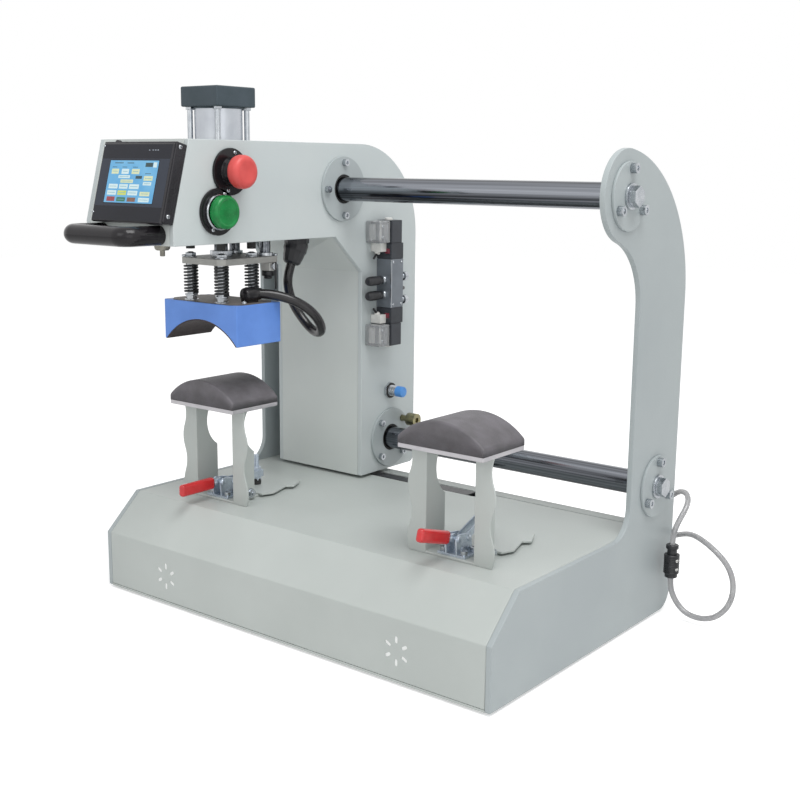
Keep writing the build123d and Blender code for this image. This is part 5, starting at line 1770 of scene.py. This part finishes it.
@dataclass
class SpoolValve:
    """Double-solenoid air valve on the column's side."""

    wall: float = -126.5
    face: float = -96.5
    front: float = 191.0
    rear: float = 221.0
    body: tuple[float, float] = (415.0, 491.0)
    silencers: tuple[float, float] = (20.0, 43.0)
    fittings: tuple[float, float, float] = (9.0, 27.5, 46.0)
    head_length: float = 25.0
    coil_length: float = 35.0

    def body_block(self) -> None:
        """Builds the anodised body with its seams, silencers and tube fittings."""
        low, high = self.body
        x = (self.wall + self.face) / 2
        shape = Shape()
        shape.block((self.wall, self.front, low), (self.face, self.rear, high), 1.0, 0)
        shape.block(
            (self.face - 1.6, self.front - 0.35, low + 0.5),
            (self.face + 0.35, self.front + 1.4, high - 0.5), 0.3, 1,
        )
        for z in (low + 5.0, high - 5.0):
            cross_screw(shape, (self.face, self.front + 5.0, z), Axis.X, 1.9, 1, 3)
            cross_screw(shape, (self.face, self.rear - 5.0, z), Axis.X, 1.9, 1, 3)
        for z in (low + lift for lift in self.silencers):
            shape.turned(
                ((0, 0), (6.4, 0), (6.6, 3.0), (5.6, 4.6), (5.2, 8.0)), (x, self.front, z),
                Axis.BACK_Y, 1, 32,
            )
            shape.turned(
                ((5.2, 7.0), (6.6, 8.0), (7.0, 9.2), (7.0, 15.4), (5.9, 16.6), (5.9, 18.0),
                 (7.0, 19.2), (7.1, 35.6), (6.2, 38.8), (4.4, 40.4), (0, 41.0)),
                (x, self.front, z), Axis.BACK_Y, 2, 32,
            )
            for ring in range(8):
                shape.turned(
                    ((7.0, 0), (7.35, 0.3), (7.35, 0.7), (7.0, 1.0)),
                    (x, self.front - 20.2 - ring * 1.8, z), Axis.BACK_Y, 2, 32,
                )
        elbow = (
            (0, 3.4), (5.8, 3.4), (5.8, 11.0), (4.4, 12.4), (4.4, 16.4), (6.8, 17.6), (7.2, 23.6),
            (6.2, 25.6), (0, 25.8),
        )
        muffler = ((0, 3.4), (6.2, 3.4), (6.4, 8.0), (4.8, 13.0), (2.6, 20.0), (0, 21.0))
        kinds = ((elbow, 1), (muffler, 2), (elbow, 1))
        for lift, (profile, finish) in zip(self.fittings, kinds):
            z = low + lift
            shape.rod((x, self.rear, z), (x, self.rear + 3.6, z), 6.8, 0.4, 1, 6)
            shape.turned(profile, (x, self.rear, z), Axis.Y, finish, 32)
        shape.close(
            "valve_body_piece", "head",
            (VALVE_ALUMINIUM, BRIGHT_STEEL, BLACK_PLASTIC, RECESS_SHADE_STEEL), "alu", ("valve_body",),
        )

    def coils(self) -> None:
        """Builds solenoid heads, coils, indicator lights and end caps."""
        low, high = self.body
        shape = Shape()
        for side, edge in ((1, high), (-1, low)):
            joint = edge + side * self.head_length
            a0, a1 = sorted((edge, joint))
            b0, b1 = sorted((joint, joint + side * self.coil_length))
            shape.block((self.wall, self.front, a0), (self.face, self.rear, a1), 1.2, 0)
            shape.block((self.wall, self.front, b0), (self.face, self.rear - 4.0, b1), 1.0, 0)
            shape.block(
                (self.face - 0.4, self.front + 1.8, b0 + 1.6),
                (self.face + 0.25, self.rear - 5.8, b1 - 1.6), 0.3, 1,
            )
            middle = (a0 + a1) / 2
            lamp = (self.face - 12.5, self.face - 3.5)
            shape.block(
                (lamp[0] - 1.0, self.front - 0.5, middle - 5.0),
                (lamp[1] + 1.0, self.front + 0.6, middle + 5.0), 0.3, 1,
            )
            shape.block(
                (lamp[0], self.front - 1.0, middle - 4.0),
                (lamp[1], self.front + 0.6, middle + 4.0), 0.5, 2,
            )
        shape.close(
            "valve_coils_piece", "head", (CHARCOAL_PLASTIC, LABEL_BLACK, RED_LENS),
            "black_plastic", ("valve_coils",),
        )
        caps = Shape()
        length = self.head_length + self.coil_length
        for z, axis in ((high + length, Axis.Z), (low - length, Axis.DOWN)):
            caps.turned(
                ((0, 0), (6.0, 0), (6.0, 2.6), (4.6, 3.6), (0, 3.8)),
                ((self.wall + self.face) / 2, self.front + 11.0, z), axis, 0, 32,
            )
        caps.close("coil_end_caps", "head", (WHITE_CAP,), "clear_tube")

    def connectors(self) -> None:
        """Builds the clear plug housings with their terminals and screws."""
        low, high = self.body
        clear, inside = Shape(), Shape()
        for side, edge in ((1, high + self.head_length), (-1, low - self.head_length)):
            z0, z1 = sorted((edge, edge + side * self.coil_length))
            n0, n1 = sorted((edge - side * 14.0, edge))
            clear.block(
                (self.wall, self.front - 28.0, z0 + 0.4), (self.face - 2.0, self.front, z1 - 0.4),
                2.2, 0, 3,
            )
            inside.block(
                (self.wall + 6.0, self.front - 24.0, z0 + 5.0),
                (self.wall + 14.0, self.front - 13.0, z1 - 6.0), 0.8, 0,
            )
            inside.block(
                (self.wall + 5.0, self.front - 11.0, z0 + 4.0),
                (self.face - 8.0, self.front - 2.0, z1 - 4.0), 0.8, 1,
            )
            for z in (z0 + 9.0, z1 - 9.0):
                seat = (self.face - 2.0, self.front - 19.0, z)
                cross_screw(inside, seat, Axis.X, 2.2, 2, 3)
            inside.block(
                (self.wall, self.front - 14.0, n0 + 0.4), (self.wall + 20.0, self.front, n1 + 0.2),
                1.0, 0,
            )
            exit_z = n0 if side > 0 else n1
            inside.turned(
                ((0, 0), (4.6, 0), (4.6, 2.0), (3.4, 3.6), (0, 3.6)),
                (self.wall + 9.0, self.front - 9.0, exit_z), (0, -0.3, -side), 0, 24,
            )
            run = Vector((1.0, -10.0, -side * 9.0))
            start = Vector((self.wall + 9.0, self.front - 9.5, exit_z - side * 1.0))
            inside.rod(start, start + run, 1.8, 0.3, 3, 16)
        clear.close(
            "connector_shells", "head", (CLEAR_SHELL,), "clear_tube", ("valve_connectors",)
        )
        inside.close(
            "connector_insides", "head", (WHITE_CAP, LABEL_GREY, BRIGHT_STEEL, BLACK_PLASTIC),
            "clear_tube",
        )

    def build(self) -> None:
        """Builds the whole valve."""
        self.body_block()
        self.coils()
        self.connectors()


@dataclass
class ColumnFittings:
    """Proximity sensor, bearing seals, gland and the small things on the head."""

    wall: float = -126.5
    bearing_faces: tuple[float, float] = (-122.5, -310.5)
    shafts: tuple = ((109.0, 599.0), (227.0, 198.0))
    sensor: tuple[float, float] = (224.5, 276.0)
    nose: float = -108.0
    nut: tuple[float, float, float] = (-172.5, 57.5, 518.0)
    mouth: tuple[float, float, float] = (-174.7, 47.0, 487.6)
    knob_place: tuple[float, float, float] = (-216.5, -166.0, 528.0)

    def seals(self) -> None:
        """Puts a lipped black seal round each shaft."""
        shape = Shape()
        for y, z in self.shafts:
            for edge, out in zip(self.bearing_faces, (Axis.X, Axis.BACK_X)):
                shape.turned(
                    ((17.7, -2.6), (18.6, -0.9), (19.6, -0.7), (20.2, -1.5), (21.4, -1.5),
                     (21.4, -2.8)),
                    (edge, y, z), out, 0, 56,
                )
        shape.close("shaft_seals", "head", (BLACK_RUBBER,), "black_rubber")

    def proximity(self) -> None:
        """Builds the sensor: threads, two nuts and a blue nose."""
        y, z = self.sensor
        inner = self.wall - 38.0
        shape = Shape()
        shape.rod((inner, y, z), (self.nose, y, z), 8.2, 0.3)
        profile = [(8.2, 0.0)]
        for turn in range(17):
            start = 0.6 + turn * 1.05
            profile += [(8.2, start), (8.95, start + 0.4), (8.2, start + 0.9)]
        shape.turned(profile, (self.wall, y, z), Axis.X, 0, 40)
        shape.rod((self.wall, y, z), (self.wall + 4.0, y, z), 13.8, 0.7, 0, 6)
        shape.rod((self.wall - 12.0, y, z), (self.wall - 8.0, y, z), 13.8, 0.7, 0, 6)
        shape.turned(
            ((9.0, 0.0), (12.4, 0.4), (12.4, 1.2), (9.0, 1.4)), (self.wall + 4.0, y, z),
            Axis.X, 2, 40,
        )
        shape.turned(
            ((0, -0.6), (8.7, -0.6), (8.7, 10.2), (8.1, 11.6), (6.4, 12.2), (0, 12.3)),
            (self.nose, y, z), Axis.X, 1, 40,
        )
        shape.close(
            "proximity_sensor_piece", "head", (BRIGHT_STEEL, SENSOR_BLUE, BLACK_RUBBER), "zinc",
            ("proximity_sensor",), 40.0,
        )

    def gland(self) -> None:
        """Builds the ridged gland that the heater cable hangs from."""
        nut, mouth = Vector(self.nut), Vector(self.mouth)
        run = (mouth - nut).length
        shape = Shape()
        shape.rod(nut, nut + Vector((0, 0, 10.0)), 19.0, 1.2, 0, 8)
        shape.turned(
            ((0, -6.0), (15.4, -6.0), (17.4, -2.0), (17.8, 0.0), (17.8, run * 0.34),
             (16.2, run * 0.44), (15.4, run * 0.62), (13.2, run * 0.9), (10.6, run * 0.99),
             (7.1, run), (0, run)),
            nut, mouth - nut, 0, 12,
        )
        shape.close(
            "cable_gland_piece", "head", (BLACK_PLASTIC,), "black_plastic", ("cable_gland",), 20.0
        )

    def knob(self) -> None:
        """Builds the small knob with its stem under the arm's front."""
        shape = Shape()
        shape.turned(
            ((0, 0.0), (12.0, 0.0), (12.0, 3.0), (10.4, 9.6), (8.6, 11.6), (4.0, 12.0),
             (3.6, 12.4), (3.6, 19.0), (3.0, 20.0), (0, 20.0)),
            self.knob_place, Axis.DOWN, 0, 40,
        )
        shape.close("arm_knob_piece", "head", (KNOB_STEEL,), "yellow_zinc", ("arm_knob",))

    def build(self) -> None:
        """Builds all of it."""
        self.seals()
        self.proximity()
        self.gland()
        self.knob()


@dataclass
class Springs:
    """The four springs that press the block down."""

    centres: tuple = ROD_PLACES
    foot: float = 448.5
    top: float = 492.5
    radius: float = 9.4
    wire: float = 3.0
    turns: float = 7.5
    travel: float = 3.0

    def build(self) -> None:
        """Winds the springs."""
        shape = Shape()
        height = self.top - self.foot
        for x, y in self.centres:
            shape.coil((x, y, self.foot), self.radius, self.wire, height, self.turns)
        made = shape.close(
            "press_springs", "platen", (BLACK_SPRING,), "spring_steel", ("springs",), 60.0
        )
        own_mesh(made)


class Dressing:
    """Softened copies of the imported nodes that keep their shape."""

    def build(self) -> None:
        """Dresses every node that no other piece stands for."""
        looks = {
            node: (finish, *edges) for finish, nodes in DRESS.items()
            for node, edges in nodes.items()
        }
        slots = {n: o.data.materials[0].name for n, o in frame["nodes"].items()}
        for body, nodes in frame["record"]["behaviour"]["bodies"].items():
            for node in nodes:
                if node not in looks:
                    continue
                finish, soft, shortest = (*looks[node], 0.0, 0.0)[:3]
                shape = Shape().copy_of(node, soft, shortest=shortest)
                shape.close(node + "_piece", body, (finish,), slots[node], (node,))


PARTS = (
    BaseCase(),
    HandValve(),
    Station(Side.LEFT, 0.0),
    Station(Side.RIGHT, 16.0),
    TouchPanel(),
    PushButtons(),
    AirCylinder(),
    PressUnit(),
    Springs(),
    SpoolValve(),
    ColumnFittings(),
    Dressing(),
)


def main() -> None:
    """Builds the room, the cords and every sub-assembly, in order."""
    logging.basicConfig(level=logging.INFO, format="%(message)s")
    Studio().build()
    for cord in CORDS:
        cord.build()
        LOG.info("cord %s", cord.name)
    for part in PARTS:
        part.build()
        LOG.info("built %s", type(part).__name__)


if __name__ == "__main__":
    main()
